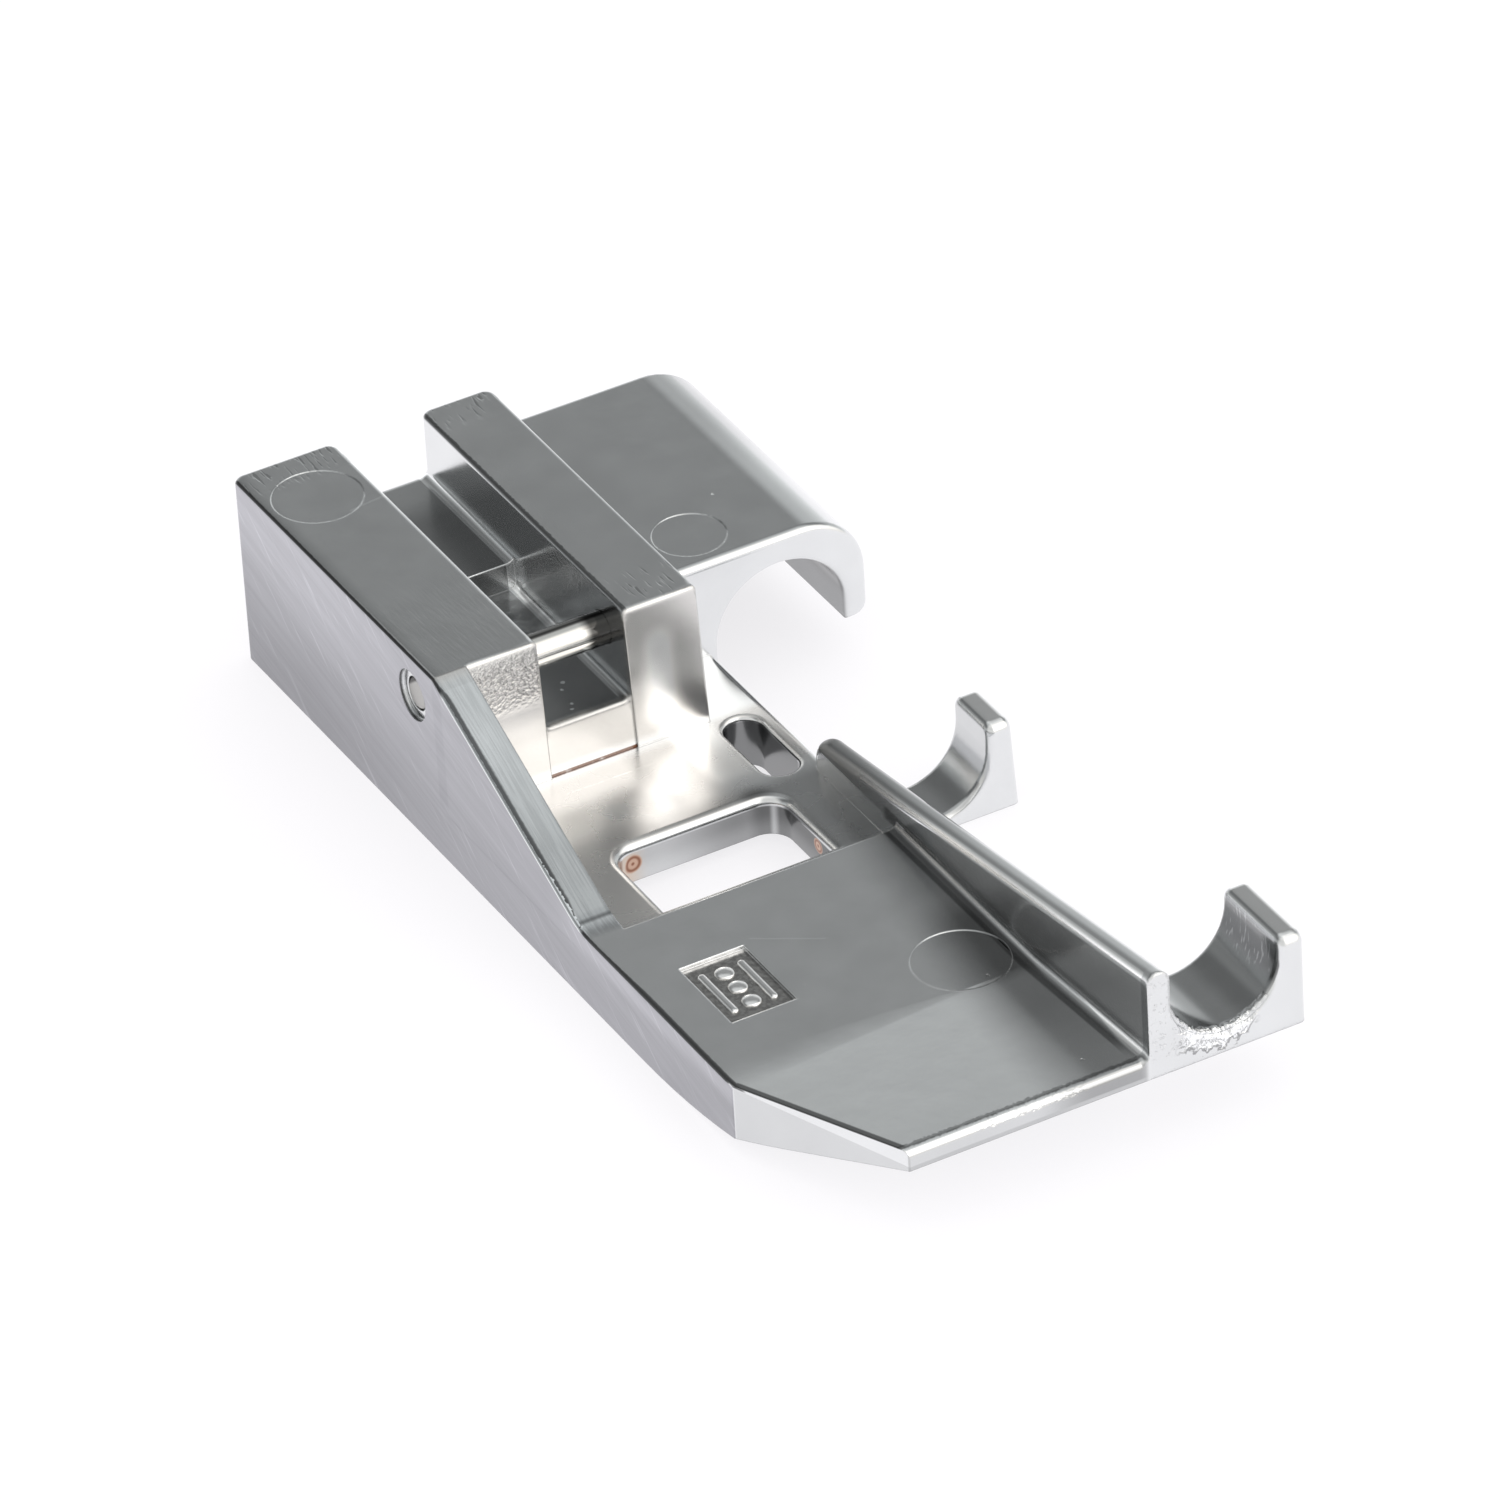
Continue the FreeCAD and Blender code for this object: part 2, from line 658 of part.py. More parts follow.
def round_rail_corners(body):
    """The rounded upright corners at the rails' rear ends."""
    rail_height = worth("Sizes.rail_height")

    def wanted(edge, low, high):
        upright = same(low.x, high.x) and same(low.y, high.y) and high.z - low.z > MARGIN
        return upright and same(high.y, 0) and same(high.z, rail_height)

    round_edges(body, "rail_corner_fillets", "rail_corner", wanted)


def round_hook_corners(body):
    """The rounded upper corners of the hooks' outer walls, seen from the side."""
    inner = worth(CHANNEL_RIGHT)
    tops = (worth("Sizes.front_hook_top"), worth("Sizes.rear_hook_top"))

    def wanted(edge, low, high):
        across = same(low.y, high.y) and high.x - low.x > NEAR and low.x > inner - NEAR
        return across and any(level(low, high, top) for top in tops)

    round_edges(body, "hook_corner_fillets", "hook_corner", wanted)


def round_rails(body):
    """The narrow rounding along the rails' tops and down the machined side to the toe."""
    rail_height = worth("Sizes.rail_height")
    rail_front = -worth("Sizes.rail_length")
    gusset_side = worth("Sizes.gusset_width")
    toe_top = worth("Sizes.toe_top")

    def wanted(edge, low, high):
        over_gusset = same(high.y, rail_front) and high.x < gusset_side + NEAR
        on_top = level(low, high, rail_height) and not over_gusset
        down_side = same(high.x, 0) and high.y < rail_front + NEAR and low.z > toe_top - NEAR
        return on_top or down_side

    round_edges(body, "rail_fillets", "casting_edge", wanted)


def round_plate(body):
    """The rounded outer edge of the base plate, between the hood and the fin."""
    side = worth(PLATE_SIDE)
    plate_top = worth("Sizes.plate_top")

    def wanted(edge, low, high):
        return level(low, high, plate_top) and same(low.x, side) and same(high.x, side)

    round_edges(body, "plate_fillet", "plate_edge", wanted)


def round_needle_slot(body):
    """The softly rounded rim of the needle slot."""
    left = worth("Sizes.needle_slot_across")
    right = worth(NEEDLE_RIGHT)
    back = -worth(NEEDLE_BACK)
    front = -worth(NEEDLE_FRONT)
    plate_top = worth("Sizes.plate_top")

    def wanted(edge, low, high):
        between_sides = low.x > left - NEAR and high.x < right + NEAR
        behind_front = low.y > front - NEAR and high.y > front + NEAR
        return level(low, high, plate_top) and between_sides and behind_front and high.y < back + NEAR

    round_edges(body, "needle_rim_fillet", "needle_rim", wanted)


def round_oval_slot(body):
    """The rounded rim of the oval slot."""
    left = worth(OVAL_LEFT)
    right = worth(OVAL_RIGHT)
    back = -worth(OVAL_BACK)
    plate_top = worth("Sizes.plate_top")

    def wanted(edge, low, high):
        inside = low.x > left - NEAR and high.x < right + NEAR and high.y < back + NEAR
        return level(low, high, plate_top) and inside

    round_edges(body, "oval_rim_fillet", "oval_rim", wanted)


def build_foot():
    """The casting, in the order that its forms build on each other."""
    body = new_body("foot_body")
    add_base(body)
    add_rails(body)
    add_gusset(body)
    cut_groove(body)
    add_hood(body)
    add_fin(body)
    add_hook(
        body,
        "rear_hook",
        "%s + Sizes.rear_hook_lead" % FIN_START,
        cell("rear_hook_length"),
        cell("rear_hook_top"),
        cell("rear_channel_height"),
        cell("rear_hook_spread"),
    )
    add_hook(
        body,
        "front_hook",
        "Sizes.foot_length - Sizes.front_hook_length",
        cell("front_hook_length"),
        cell("front_hook_top"),
        cell("front_channel_height"),
    )
    cut_underside(body)
    cut_toe_corner(body)
    round_groove(body)
    round_rail_corners(body)
    round_rails(body)
    round_hook_corners(body)
    round_hooks(body)
    round_fin(body)
    round_hood(body)
    round_plate(body)
    cut_needle_slot(body)
    round_needle_slot(body)
    cut_relief(body)
    cut_oval_slot(body)
    round_oval_slot(body)
    cut_panel(body)
    cut_pin_hole(body)
    cut_mark(
        body,
        "rail_mark",
        cell("rail_height"),
        cell("rail_mark_across"),
        cell("rail_mark_back"),
        cell("rail_mark_radius"),
    )
    cut_mark(
        body,
        "hood_mark",
        cell("hood_top"),
        "%s + Sizes.hood_mark_inset" % RAILS_SIDE,
        "Sizes.hood_length - Sizes.hood_mark_set_back",
        cell("hood_mark_radius"),
    )
    cut_mark(
        body,
        "toe_mark",
        cell("toe_top"),
        "%s - Sizes.toe_mark_inset" % FIN_LEFT,
        "Sizes.foot_length - Sizes.toe_mark_set_back",
        cell("toe_mark_radius"),
    )
    return body


def build_pin():
    """The cross pin that the ankle clips onto, pressed in from the machined side."""
    body = new_body("hinge_pin")
    sketch = new_sketch(body, "pin_side", "YZ_Plane", cell("pin_recess"))
    draw_circle(sketch, "-" + PIN_BACK, PIN_HEIGHT, "Sizes.pin_diameter / 2")
    pad(body, sketch, "pin", "%s + Sizes.pin_seat - Sizes.pin_recess" % GROOVE_SIDE)

    def wanted(edge, low, high):
        return same(low.x, high.x)

    bevel_edges(body, "pin_end_chamfers", "pin_end_bevel", wanted)
    return body


def check_objects():
    """Stop if any object failed to build."""
    for item in doc.Objects:
        if "Invalid" in item.State or "Error" in item.State:
            raise ValueError("%s failed: %s" % (item.Label, item.State))


def export(body):
    """Check one piece and write it under its node's name."""
    shape = body.Shape
    if shape.isNull() or not shape.isValid() or len(shape.Solids) != 1:
        raise ValueError(body.Label + " isn't one sound solid")
    os.makedirs("parts", exist_ok=True)
    shape.exportStep("parts/%s.step" % body.Label)
    print("%s: %.1f cubic mm, %d faces" % (body.Label, shape.Volume, len(shape.Faces)))


pieces = [build_foot(), build_pin()]
doc.recompute()
check_objects()
for piece in pieces:
    export(piece)
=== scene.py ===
# %% [markdown]
# A presser foot is the small casting that holds cloth down around the needle. This one is a
# zinc die casting with a bright satin plating, crossed by one short steel pin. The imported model
# is the fixed frame: every piece below is made in metres, in that frame, so nothing is fitted.

# %% The frame
import math
import bmesh
import bpy
from mathutils import Matrix, Vector


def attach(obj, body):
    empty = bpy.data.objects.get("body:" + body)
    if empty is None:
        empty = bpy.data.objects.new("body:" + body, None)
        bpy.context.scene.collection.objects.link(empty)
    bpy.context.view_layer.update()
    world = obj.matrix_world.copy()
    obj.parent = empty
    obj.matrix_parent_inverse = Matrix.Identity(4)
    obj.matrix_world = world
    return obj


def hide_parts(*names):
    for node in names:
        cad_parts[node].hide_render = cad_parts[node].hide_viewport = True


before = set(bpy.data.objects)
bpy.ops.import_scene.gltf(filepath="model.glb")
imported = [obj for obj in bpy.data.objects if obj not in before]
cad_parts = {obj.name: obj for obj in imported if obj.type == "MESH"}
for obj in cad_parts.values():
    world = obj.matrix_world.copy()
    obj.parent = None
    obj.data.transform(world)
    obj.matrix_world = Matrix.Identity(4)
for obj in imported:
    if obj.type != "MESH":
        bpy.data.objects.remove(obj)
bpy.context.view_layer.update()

MM = 0.001
HALF_WIDTH = 9.70
HALF_LENGTH = 22.0


def at(across, forward, height):
    """A point given in millimetres from the machined side, the rear end and the sole."""
    return Vector((across - HALF_WIDTH, HALF_LENGTH - forward, height)) * MM


# %% [markdown]
# The camera comes first, because every later choice is judged through it. The photograph was
# taken with a long lens from the front left and from above, so the far end is hardly smaller
# than the near one. A camera is three directions and a place: the columns of its matrix are
# what lies to its right, above it and behind it.

# %% Camera
CAMERA_PLACE = Vector((-174.02, -335.59, 268.33)) * MM
CAMERA_RIGHT = Vector((0.87014, -0.49010, -0.05155))
CAMERA_DOWN = Vector((-0.31784, -0.47817, -0.81874))
CAMERA_AHEAD = Vector((0.37661, 0.72880, -0.57185))
LENS_MM = 312.0
SENSOR_MM = 36.0

camera_data = bpy.data.cameras.new("camera")
camera_data.lens = LENS_MM
camera_data.sensor_width = SENSOR_MM
camera_data.clip_start = 0.01
camera_data.clip_end = 5.0
camera = bpy.data.objects.new("camera", camera_data)
columns = Matrix((CAMERA_RIGHT, -CAMERA_DOWN, -CAMERA_AHEAD)).transposed()
camera.matrix_world = Matrix.Translation(CAMERA_PLACE) @ columns.to_4x4()
bpy.context.scene.collection.objects.link(camera)
bpy.context.scene.camera = camera
bpy.context.scene.view_settings.view_transform = "Standard"
print("camera distance:", round(CAMERA_PLACE.length, 4), "m")

# %% [markdown]
# Every finish here is worked out from numbers that vary over the surface: how far a point is
# from an edge, how a noise rises and falls. A shader does that with Math nodes, which are
# tiresome to wire by hand. A small class lets the sums be written as sums instead: each
# operator adds its own node and gives back what comes out of it.


# %% Shader sums
class Shade:
    """One value or colour that varies over a surface: the output socket of a shader node."""

    def __init__(self, tree, socket=None):
        self.tree = tree
        self.socket = socket

    def out(self, name):
        """Another output of the node that this one comes out of."""
        return Shade(self.tree, self.socket.node.outputs[name])

    def node(self, kind, settings=None, sockets=None, output=0):
        """Adds one node: its settings come first, then the values or links of its sockets."""
        made = self.tree.nodes.new(kind)
        for name, value in (settings or {}).items():
            setattr(made, name, value)
        for name, value in (sockets or {}).items():
            if isinstance(value, Shade):
                self.tree.links.new(value.socket, made.inputs[name])
            else:
                made.inputs[name].default_value = value
        return Shade(self.tree, made.outputs[output]) if made.outputs else None

    def math(self, operation, *values):
        return self.node("ShaderNodeMath", {"operation": operation}, dict(enumerate(values)))

    def __add__(self, other):
        return self.math("ADD", self, other)

    def __sub__(self, other):
        return self.math("SUBTRACT", self, other)

    def __rsub__(self, other):
        return self.math("SUBTRACT", other, self)

    def __mul__(self, other):
        return self.math("MULTIPLY", self, other)

    def __truediv__(self, other):
        return self.math("DIVIDE", self, other)

    def __abs__(self):
        return self.math("ABSOLUTE", self)

    __radd__ = __add__
    __rmul__ = __mul__

    def larger(self, other):
        return self.math("MAXIMUM", self, other)

    def smaller(self, other):
        return self.math("MINIMUM", self, other)

    def rise(self, low, high):
        """Nought below low, one above high, and a smooth slope between them."""
        settings = {"interpolation_type": "SMOOTHSTEP"}
        sockets = {"Value": self, "From Min": low, "From Max": high, "To Min": 0.0, "To Max": 1.0}
        return self.node("ShaderNodeMapRange", settings, sockets)

    def fall(self, low, high):
        settings = {"interpolation_type": "SMOOTHSTEP"}
        sockets = {"Value": self, "From Min": low, "From Max": high, "To Min": 1.0, "To Max": 0.0}
        return self.node("ShaderNodeMapRange", settings, sockets)

    def within(self, low, high, soft):
        """One between low and high, fading to nought over soft on both sides."""
        return self.rise(low - soft, low + soft) * self.fall(high - soft, high + soft)

    def near(self, value, reach):
        """One where the number is that value, nought once it is further off than reach."""
        return abs(self - value).fall(0.0, reach)

    def grain(self, size, detail):
        """A noise read at this place, its lumps about that many metres wide, from nought to one."""
        sockets = {"Vector": self, "Scale": 1 / size, "Detail": detail}
        return self.node("ShaderNodeTexNoise", {"noise_dimensions": "3D"}, sockets)

    def cells(self, size):
        """How far this place is from the nearest of many scattered points, in cell widths."""
        sockets = {"Vector": self, "Scale": 1 / size}
        return self.node("ShaderNodeTexVoronoi", {"feature": "F1"}, sockets, "Distance")

    def darker(self, mask, share):
        """This value, lowered by that share of itself where the mask is one."""
        return self * (1 - mask * share)

    def lighter(self, mask, share):
        return self * (1 + mask * share)

    def scaled(self, colour):
        """That colour, made lighter or darker by this value."""
        return self.paint((0.0, 0.0, 0.0, 1.0), colour, False)

    def paint(self, first, second, clamped=True):
        """The first colour where this is nought, the second where it is one, and a mix between."""
        sockets = {"Factor": self, "A": first, "B": second}
        made = self.tree.nodes.new("ShaderNodeMix")
        made.data_type = "RGBA"
        made.clamp_factor = clamped
        for name, value in sockets.items():
            kind = "VALUE" if name == "Factor" else "RGBA"
            socket = [s for s in made.inputs if s.name == name and s.type == kind][0]
            if isinstance(value, Shade):
                self.tree.links.new(value.socket, socket)
            else:
                socket.default_value = value
        return Shade(self.tree, [s for s in made.outputs if s.type == "RGBA"][0])


def grey(value, warm=0.0):
    """A grey of that brightness, a little warmer or cooler."""
    return (value * (1 + warm), value, value * (1 - warm), 1.0)


# %% [markdown]
# Plated metal shows hardly any colour of its own: what the eye reads as its shading is the room
# it mirrors. Photographers put a bright table under such a piece, bright boards in front of it
# and leave the wall behind it grey, so the upward faces turn grey and the front edges white.
# The world below is that room. The camera itself sees plain white.

# %% Room
world = bpy.data.worlds.new("photo_room")
world.use_nodes = True
bpy.context.scene.world = world
world.node_tree.nodes.clear()
room = Shade(world.node_tree)
look = room.node("ShaderNodeTexCoord", output="Generated")
axes = look.node("ShaderNodeSeparateXYZ", None, {"Vector": look})
look_x = axes.out("X")
look_y = axes.out("Y")
look_z = axes.out("Z")

WALL_GREY = 0.25
LEFT_GREY = 0.17
SKIRT_GREY = 0.62
LEFT_SKIRT = 0.35
LEFT_FRONT = 0.50
CEILING_GREY = 0.60
FRONT_BRIGHT = 1.55
HORIZON_BRIGHT = 1.00
COOL_TINT = (0.975, 1.0, 1.0, 1)
WARM_TINT = (1.0, 0.97, 0.93, 1)
AMBIENT = 1.35

board = look_y.fall(-0.35, 0.10) * (LEFT_FRONT + look_x.rise(-0.20, 0.15) * (1 - LEFT_FRONT))
right = look_x.rise(-0.2, 0.2)
wall = right * WALL_GREY + (1 - right) * LEFT_GREY
ceiling = look_z.rise(0.72, 0.90)
upper = ceiling * CEILING_GREY + (1 - ceiling) * wall
skirt = look_z.fall(0.43, 0.54) * (LEFT_SKIRT + right * (1 - LEFT_SKIRT))
back = skirt * SKIRT_GREY + (1 - skirt) * upper
lit = board * FRONT_BRIGHT + (1 - board) * back
horizon = look_z.fall(-0.10, 0.35)
mirrored = horizon * HORIZON_BRIGHT + (1 - horizon) * lit
tint = board.paint(COOL_TINT, WARM_TINT)

path = room.node("ShaderNodeLightPath", output="Is Camera Ray")
glossy = path.out("Is Glossy Ray")
strength = path * 1.0 + (1 - path) * (glossy * mirrored + (1 - glossy) * AMBIENT)
colour = (path + (1 - glossy)).smaller(1.0).paint(tint, grey(1.0))
background = room.node("ShaderNodeBackground", None, {"Color": colour, "Strength": strength})
room.node("ShaderNodeOutputWorld", None, {"Surface": background})
print("room: wall", WALL_GREY, "ceiling", CEILING_GREY, "front", FRONT_BRIGHT)

# %% Table
TABLE_HALF_SIDE = 1.2
TABLE_DROP = 0.02
TABLE_WHITE = (0.905, 0.895, 0.91, 1)
GLOW_WHITE = (1.0, 0.99, 1.01, 1)
MIRRORED_GLOW = 1.17
TABLE_GLOW = 0.75
GLOSSY_GLOW = 0.80

table_mesh = bpy.data.meshes.new("table")
bm = bmesh.new()
bmesh.ops.create_grid(bm, x_segments=1, y_segments=1, size=TABLE_HALF_SIDE)
bmesh.ops.translate(bm, vec=(0, 0, -TABLE_DROP * MM), verts=bm.verts[:])
bm.to_mesh(table_mesh)
bm.free()
table = bpy.data.objects.new("table", table_mesh)
bpy.context.scene.collection.objects.link(table)
table_paint = bpy.data.materials.new("table_white")
table_paint.use_nodes = True
table_paint.node_tree.nodes.clear()
start = Shade(table_paint.node_tree)
matt = start.node("ShaderNodeBsdfDiffuse", None, {"Color": TABLE_WHITE})
ray = start.node("ShaderNodeLightPath", output="Is Camera Ray")
ray_glossy = ray.out("Is Glossy Ray")
strength = ray_glossy * MIRRORED_GLOW + (1 - ray_glossy)
glow = start.node("ShaderNodeEmission", None, {"Color": GLOW_WHITE, "Strength": strength})
ray_through = ray.out("Is Transmission Ray")
share = (ray + ray_through).smaller(1.0) * TABLE_GLOW + ray_glossy * GLOSSY_GLOW
both = start.node("ShaderNodeMixShader", None, {0: share, 1: matt, 2: glow})
start.node("ShaderNodeOutputMaterial", None, {"Surface": both})
table_mesh.materials.append(table_paint)
print("table:", 2 * TABLE_HALF_SIDE, "m wide,", TABLE_DROP, "mm under the sole")


# %% Lamps
def soft_lamp(name, place, aim, size, watts):
    """A square lamp that shines from one place toward another and isn't seen itself."""
    data = bpy.data.lights.new(name, "AREA")
    data.shape = "SQUARE"
    data.size = size
    data.energy = watts
    lamp = bpy.data.objects.new(name, data)
    turn = (Vector(aim) - Vector(place)).to_track_quat("-Z", "Y").to_matrix().to_4x4()
    lamp.matrix_world = Matrix.Translation(Vector(place)) @ turn
    lamp.visible_camera = False
    bpy.context.scene.collection.objects.link(lamp)
    print(name, watts, "W,", size, "m wide")


soft_lamp("front_box", place=(0.30, -0.55, 0.40), aim=(0, 0, 0), size=0.50, watts=0.6)

# %% [markdown]
# The casting is one solid with crisp edges, fillets a few tenths wide and large flat faces. A
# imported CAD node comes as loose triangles, which shade badly on bright metal. A welded copy,
# with its flat areas joined back into single faces, can be shaded smooth: the normals are
# weighted by area, so the flats stay flat and the fillets carry the whole turn.

# %% Welded copies
WELD = 1e-6
FLAT_TURN = math.radians(0.2)
SHARP_TURN = math.radians(52)
FLAT_EDGE_TURN = math.radians(12)
WIDE_FACE = 0.45 * MM
WIDE_AREA = 1.0 * MM * MM
BEND_FORWARD = 36.15
BEND_SOFT = 0.9


def face_width(face):
    """About how wide a face is: its area by half its outline."""
    return 2 * face.calc_area() / sum(edge.calc_length() for edge in face.edges)


def is_crisp(edge):
    """A real edge of the casting, not a step between the facets of a curve."""
    if len(edge.link_faces) != 2:
        return False
    turn = edge.calc_face_angle()
    wide = min(face_width(face) for face in edge.link_faces) > WIDE_FACE
    return turn > SHARP_TURN or (turn > FLAT_EDGE_TURN and wide)


def welded(bm, node):
    """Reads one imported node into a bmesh, its loose triangles joined into whole faces."""
    bm.from_mesh(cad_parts[node].data)
    bmesh.ops.remove_doubles(bm, verts=bm.verts[:], dist=WELD)
    bmesh.ops.dissolve_degenerate(bm, dist=WELD, edges=bm.edges[:])
    bmesh.ops.dissolve_limit(bm, angle_limit=FLAT_TURN, verts=bm.verts[:], edges=bm.edges[:])


def is_flat(face):
    """A wide face that doesn't run on into another wide face of the same curve."""
    if face_width(face) < WIDE_FACE or face.calc_area() < WIDE_AREA:
        return False
    for edge in face.edges:
        turn = edge.calc_face_angle(0.0)
        others = [other for other in edge.link_faces if other is not face]
        if FLAT_TURN < turn < FLAT_EDGE_TURN and face_width(others[0]) > WIDE_FACE:
            return False
    return True


def corner_normal(loop, flat_faces):
    """The direction to shade a face's corner in: its own if the face is flat, else its neighbours'."""
    if loop.face in flat_faces:
        return loop.face.normal.copy()
    fan = [loop.face]
    for face in fan:
        for edge in face.edges:
            if loop.vert in edge.verts and edge.smooth:
                fan += [other for other in edge.link_faces if other not in fan]
    total = Vector((0, 0, 0))
    for face in fan:
        total += face.normal * face.calc_area()
    return total.normalized()


def shaded_piece(bm, name, material):
    """Turns a bmesh into a finished object that rides with the foot."""
    bmesh.ops.recalc_face_normals(bm, faces=bm.faces[:])
    bm.normal_update()
    for face in bm.faces:
        face.smooth = True
    for edge in bm.edges:
        edge.smooth = not is_crisp(edge)
    flat_faces = {face for face in bm.faces if is_flat(face)}
    normals = [corner_normal(loop, flat_faces) for face in bm.faces for loop in face.loops]
    mesh = bpy.data.meshes.new(name)
    bm.to_mesh(mesh)
    mesh.normals_split_custom_set(normals)
    open_edges = sum(1 for edge in bm.edges if len(edge.link_faces) != 2)
    print(name, len(bm.verts), "points", len(bm.faces), "faces", len(flat_faces), "flat")
    print(name, "open edges:", open_edges)
    bm.free()
    mesh.materials.append(material)
    piece = bpy.data.objects.new(name, mesh)
    bpy.context.scene.collection.objects.link(piece)
    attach(piece, "root")
    return piece


# %% [markdown]
# The plating is one finish everywhere, so it is one material, and everything that changes over
# the casting is a mask on the place: the milled side, the groove, a little duller and painted
# with shade, the painted shade and highlights of other hollows and edges, the speckle of the cast
# skin, the copper that shows through at the needle slot. Places are read in millimetres from
# the machined side, the rear end and the sole, the same three numbers that the drawing uses.


# %% Start of a finish
def finish(name):
    """A new material, the place on the piece, and that place's three distances in millimetres."""
    made = bpy.data.materials.new(name)
    made.use_nodes = True
    made.node_tree.nodes.clear()
    place = Shade(made.node_tree).node("ShaderNodeTexCoord", output="Object")
    split = place.node("ShaderNodeSeparateXYZ", None, {"Vector": place})
    across = split / MM + HALF_WIDTH
    forward = HALF_LENGTH - split.out("Y") / MM
    height = split.out("Z") / MM
    return made, place, across, forward, height


def softened(place, edge_radius):
    """The shading direction with every edge rounded by that many millimetres."""
    return place.node("ShaderNodeBevel", {"samples": 8}, {"Radius": edge_radius * MM})


def metal(place, colour, roughness, relief, edge):
    """Joins colour, roughness, a relief in millimetres and a shading direction into a metal."""
    bumps = {"Strength": 1.0, "Distance": MM, "Height": relief, "Normal": edge}
    normal = place.node("ShaderNodeBump", None, bumps)
    sockets = {"Base Color": colour, "Metallic": 1.0, "Roughness": roughness, "Normal": normal}
    body = place.node("ShaderNodeBsdfPrincipled", None, sockets)
    place.node("ShaderNodeOutputMaterial", None, {"Surface": body})


# %% The drawing's sizes
RAIL_TOP = 7.77
RAIL_FRONT = 15.42
GROOVE_LEFT = 4.23
GROOVE_RIGHT = 7.75
GROOVE_FLOOR = 5.12
GROOVE_STEP = 6.98
POCKET_FLOOR = 4.06
WALL_FOOT = 15.79
STRIP_SIDE = 1.41
PLATE_TOP = 2.10
PLATE_SIDE = 12.95
TOE_REAR = 25.50
TOE_TOP = 2.95
CORNER_START = 36.60
CORNER_SLOPE = 0.385
TIP_SLOPE = 0.0764
TIP = 44.0
HOOK_CENTRE = (15.50, 5.91)
HOOK_LEFT = 13.35
HOOK_RIGHT = 17.74
HOOK_EDGE = 17.86
PANEL_FLOOR = 2.79
ROUND_MARKS = (((2.06, 2.87, 7.77), 1.70), ((13.25, 10.25, 6.05), 1.38), ((10.33, 34.59, 2.95), 1.80))
COPPER_SPOTS = (((4.61, 21.10, 1.28), 0.34), ((10.55, 23.97, 1.43), 0.27))
POCKET_FLECKS = ((5.96, 13.77, 4.06), (6.18, 13.38, 4.06), (5.81, 14.72, 4.06), (5.64, 15.02, 4.06))
TOE_FLECK = (5.09, 32.83, 2.95)
print("sizes: rail top", RAIL_TOP, "plate top", PLATE_TOP, "toe top", TOE_TOP, "tip", TIP)


# %% Plated casting: masks
def count_nodes(step):
    """Prints how far the plated finish has grown."""
    print("plated finish,", step + ":", len(plated.node_tree.nodes), "nodes")


plated, place, across, forward, height = finish("plated_zinc_satin")

machined = across.fall(0.015, 0.03)
upper = 1 - machined
before_rear = forward.rise(0.02, 0.06)
groove = across.within(GROOVE_LEFT + 0.02, GROOVE_RIGHT - 0.02, 0.01) * forward.fall(15.2, 15.4)
groove = groove * height.within(3.95, 7.65, 0.05) * before_rear
# Painted shade in the groove and pocket, deeper toward the front and in patches, eased by a painted
# highlight at the right wall's foot; step_line is a painted highlight along the step.
patchy_shade = place.grain(0.9 * MM, 3.0).rise(0.42, 0.62) * forward.within(7.2, 10.8, 0.9)
groove_shade = 0.25 + forward.rise(1.2, 3.2) * 0.31 - forward.rise(6.9, 7.3) * (0.08 + patchy_shade * 0.40)
groove_shade = groove_shade + across.rise(7.5, 7.7) * forward.rise(12.4, 13.2) * 0.22
floor_foot = height.fall(GROOVE_FLOOR + 0.30, GROOVE_FLOOR + 0.38) * forward.fall(6.95, 7.0)
pocket_foot = height.fall(POCKET_FLOOR + 0.30, POCKET_FLOOR + 0.38) * forward.rise(GROOVE_STEP, 7.05)
groove_foot = (floor_foot + pocket_foot + forward.within(6.95, 7.22, 0.03)).smaller(1.0)
groove_foot = groove_foot * across.within(7.40, 7.765, 0.02)
step_line = forward.near(GROOVE_STEP, 0.08) * height.near(GROOVE_FLOOR, 0.09) * across.within(4.3, 7.5, 0.05)
hook_hollow = forward.within(40.06, 43.9, 0.02) * across.within(HOOK_LEFT, HOOK_RIGHT, 0.03)
hook_hollow = hook_hollow * height.fall(6.0, 6.4)
walls = forward.within(15.35, 16.0, 0.03) * height.rise(2.2, 2.6)
rail_front = walls * across.within(1.52, 4.15, 0.06) * height.within(5.5, 7.45, 0.4)
plate = forward.within(15.9, 25.4, 0.3) * height.within(2.04, 2.14, 0.02) * across.fall(PLATE_SIDE, 13.05)
strip = across.fall(1.38, STRIP_SIDE) * forward.within(15.6, 26.2, 0.3) * upper * height.rise(2.2, 2.4)
panel = across.within(1.84, 4.42, 0.005) * forward.within(29.63, 33.39, 0.005)
panel = panel * height.within(2.7, 2.945, 0.003)
slot_walls = forward.within(21.0, 25.6, 0.05) * across.within(3.6, 10.7, 0.05) * height.fall(1.70, 1.80)
oval_walls = forward.within(16.1, 20.4, 0.05) * across.within(10.6, 12.4, 0.05) * height.fall(1.85, 1.95)
count_nodes("masks")

# %% Plated casting: skin
speckle = place.grain(0.055 * MM, 1.0)
cloud = place.grain(1.6 * MM, 3.0)
peel = place.grain(0.15 * MM, 1.0)
ragged = place.grain(0.16 * MM, 2.0) - 0.5
pit = place.cells(3.1 * MM).fall(0.018, 0.030)
count_nodes("skin")

# %% [markdown]
# Brushing, milling and handling all leave lines, and a line is a noise that has been pulled
# long in one direction. The same small step makes the fine strokes along the milled side, the
# file marks on the sloping strip and the nicks at the rear ends of the rails: only the turn
# and the pull change.


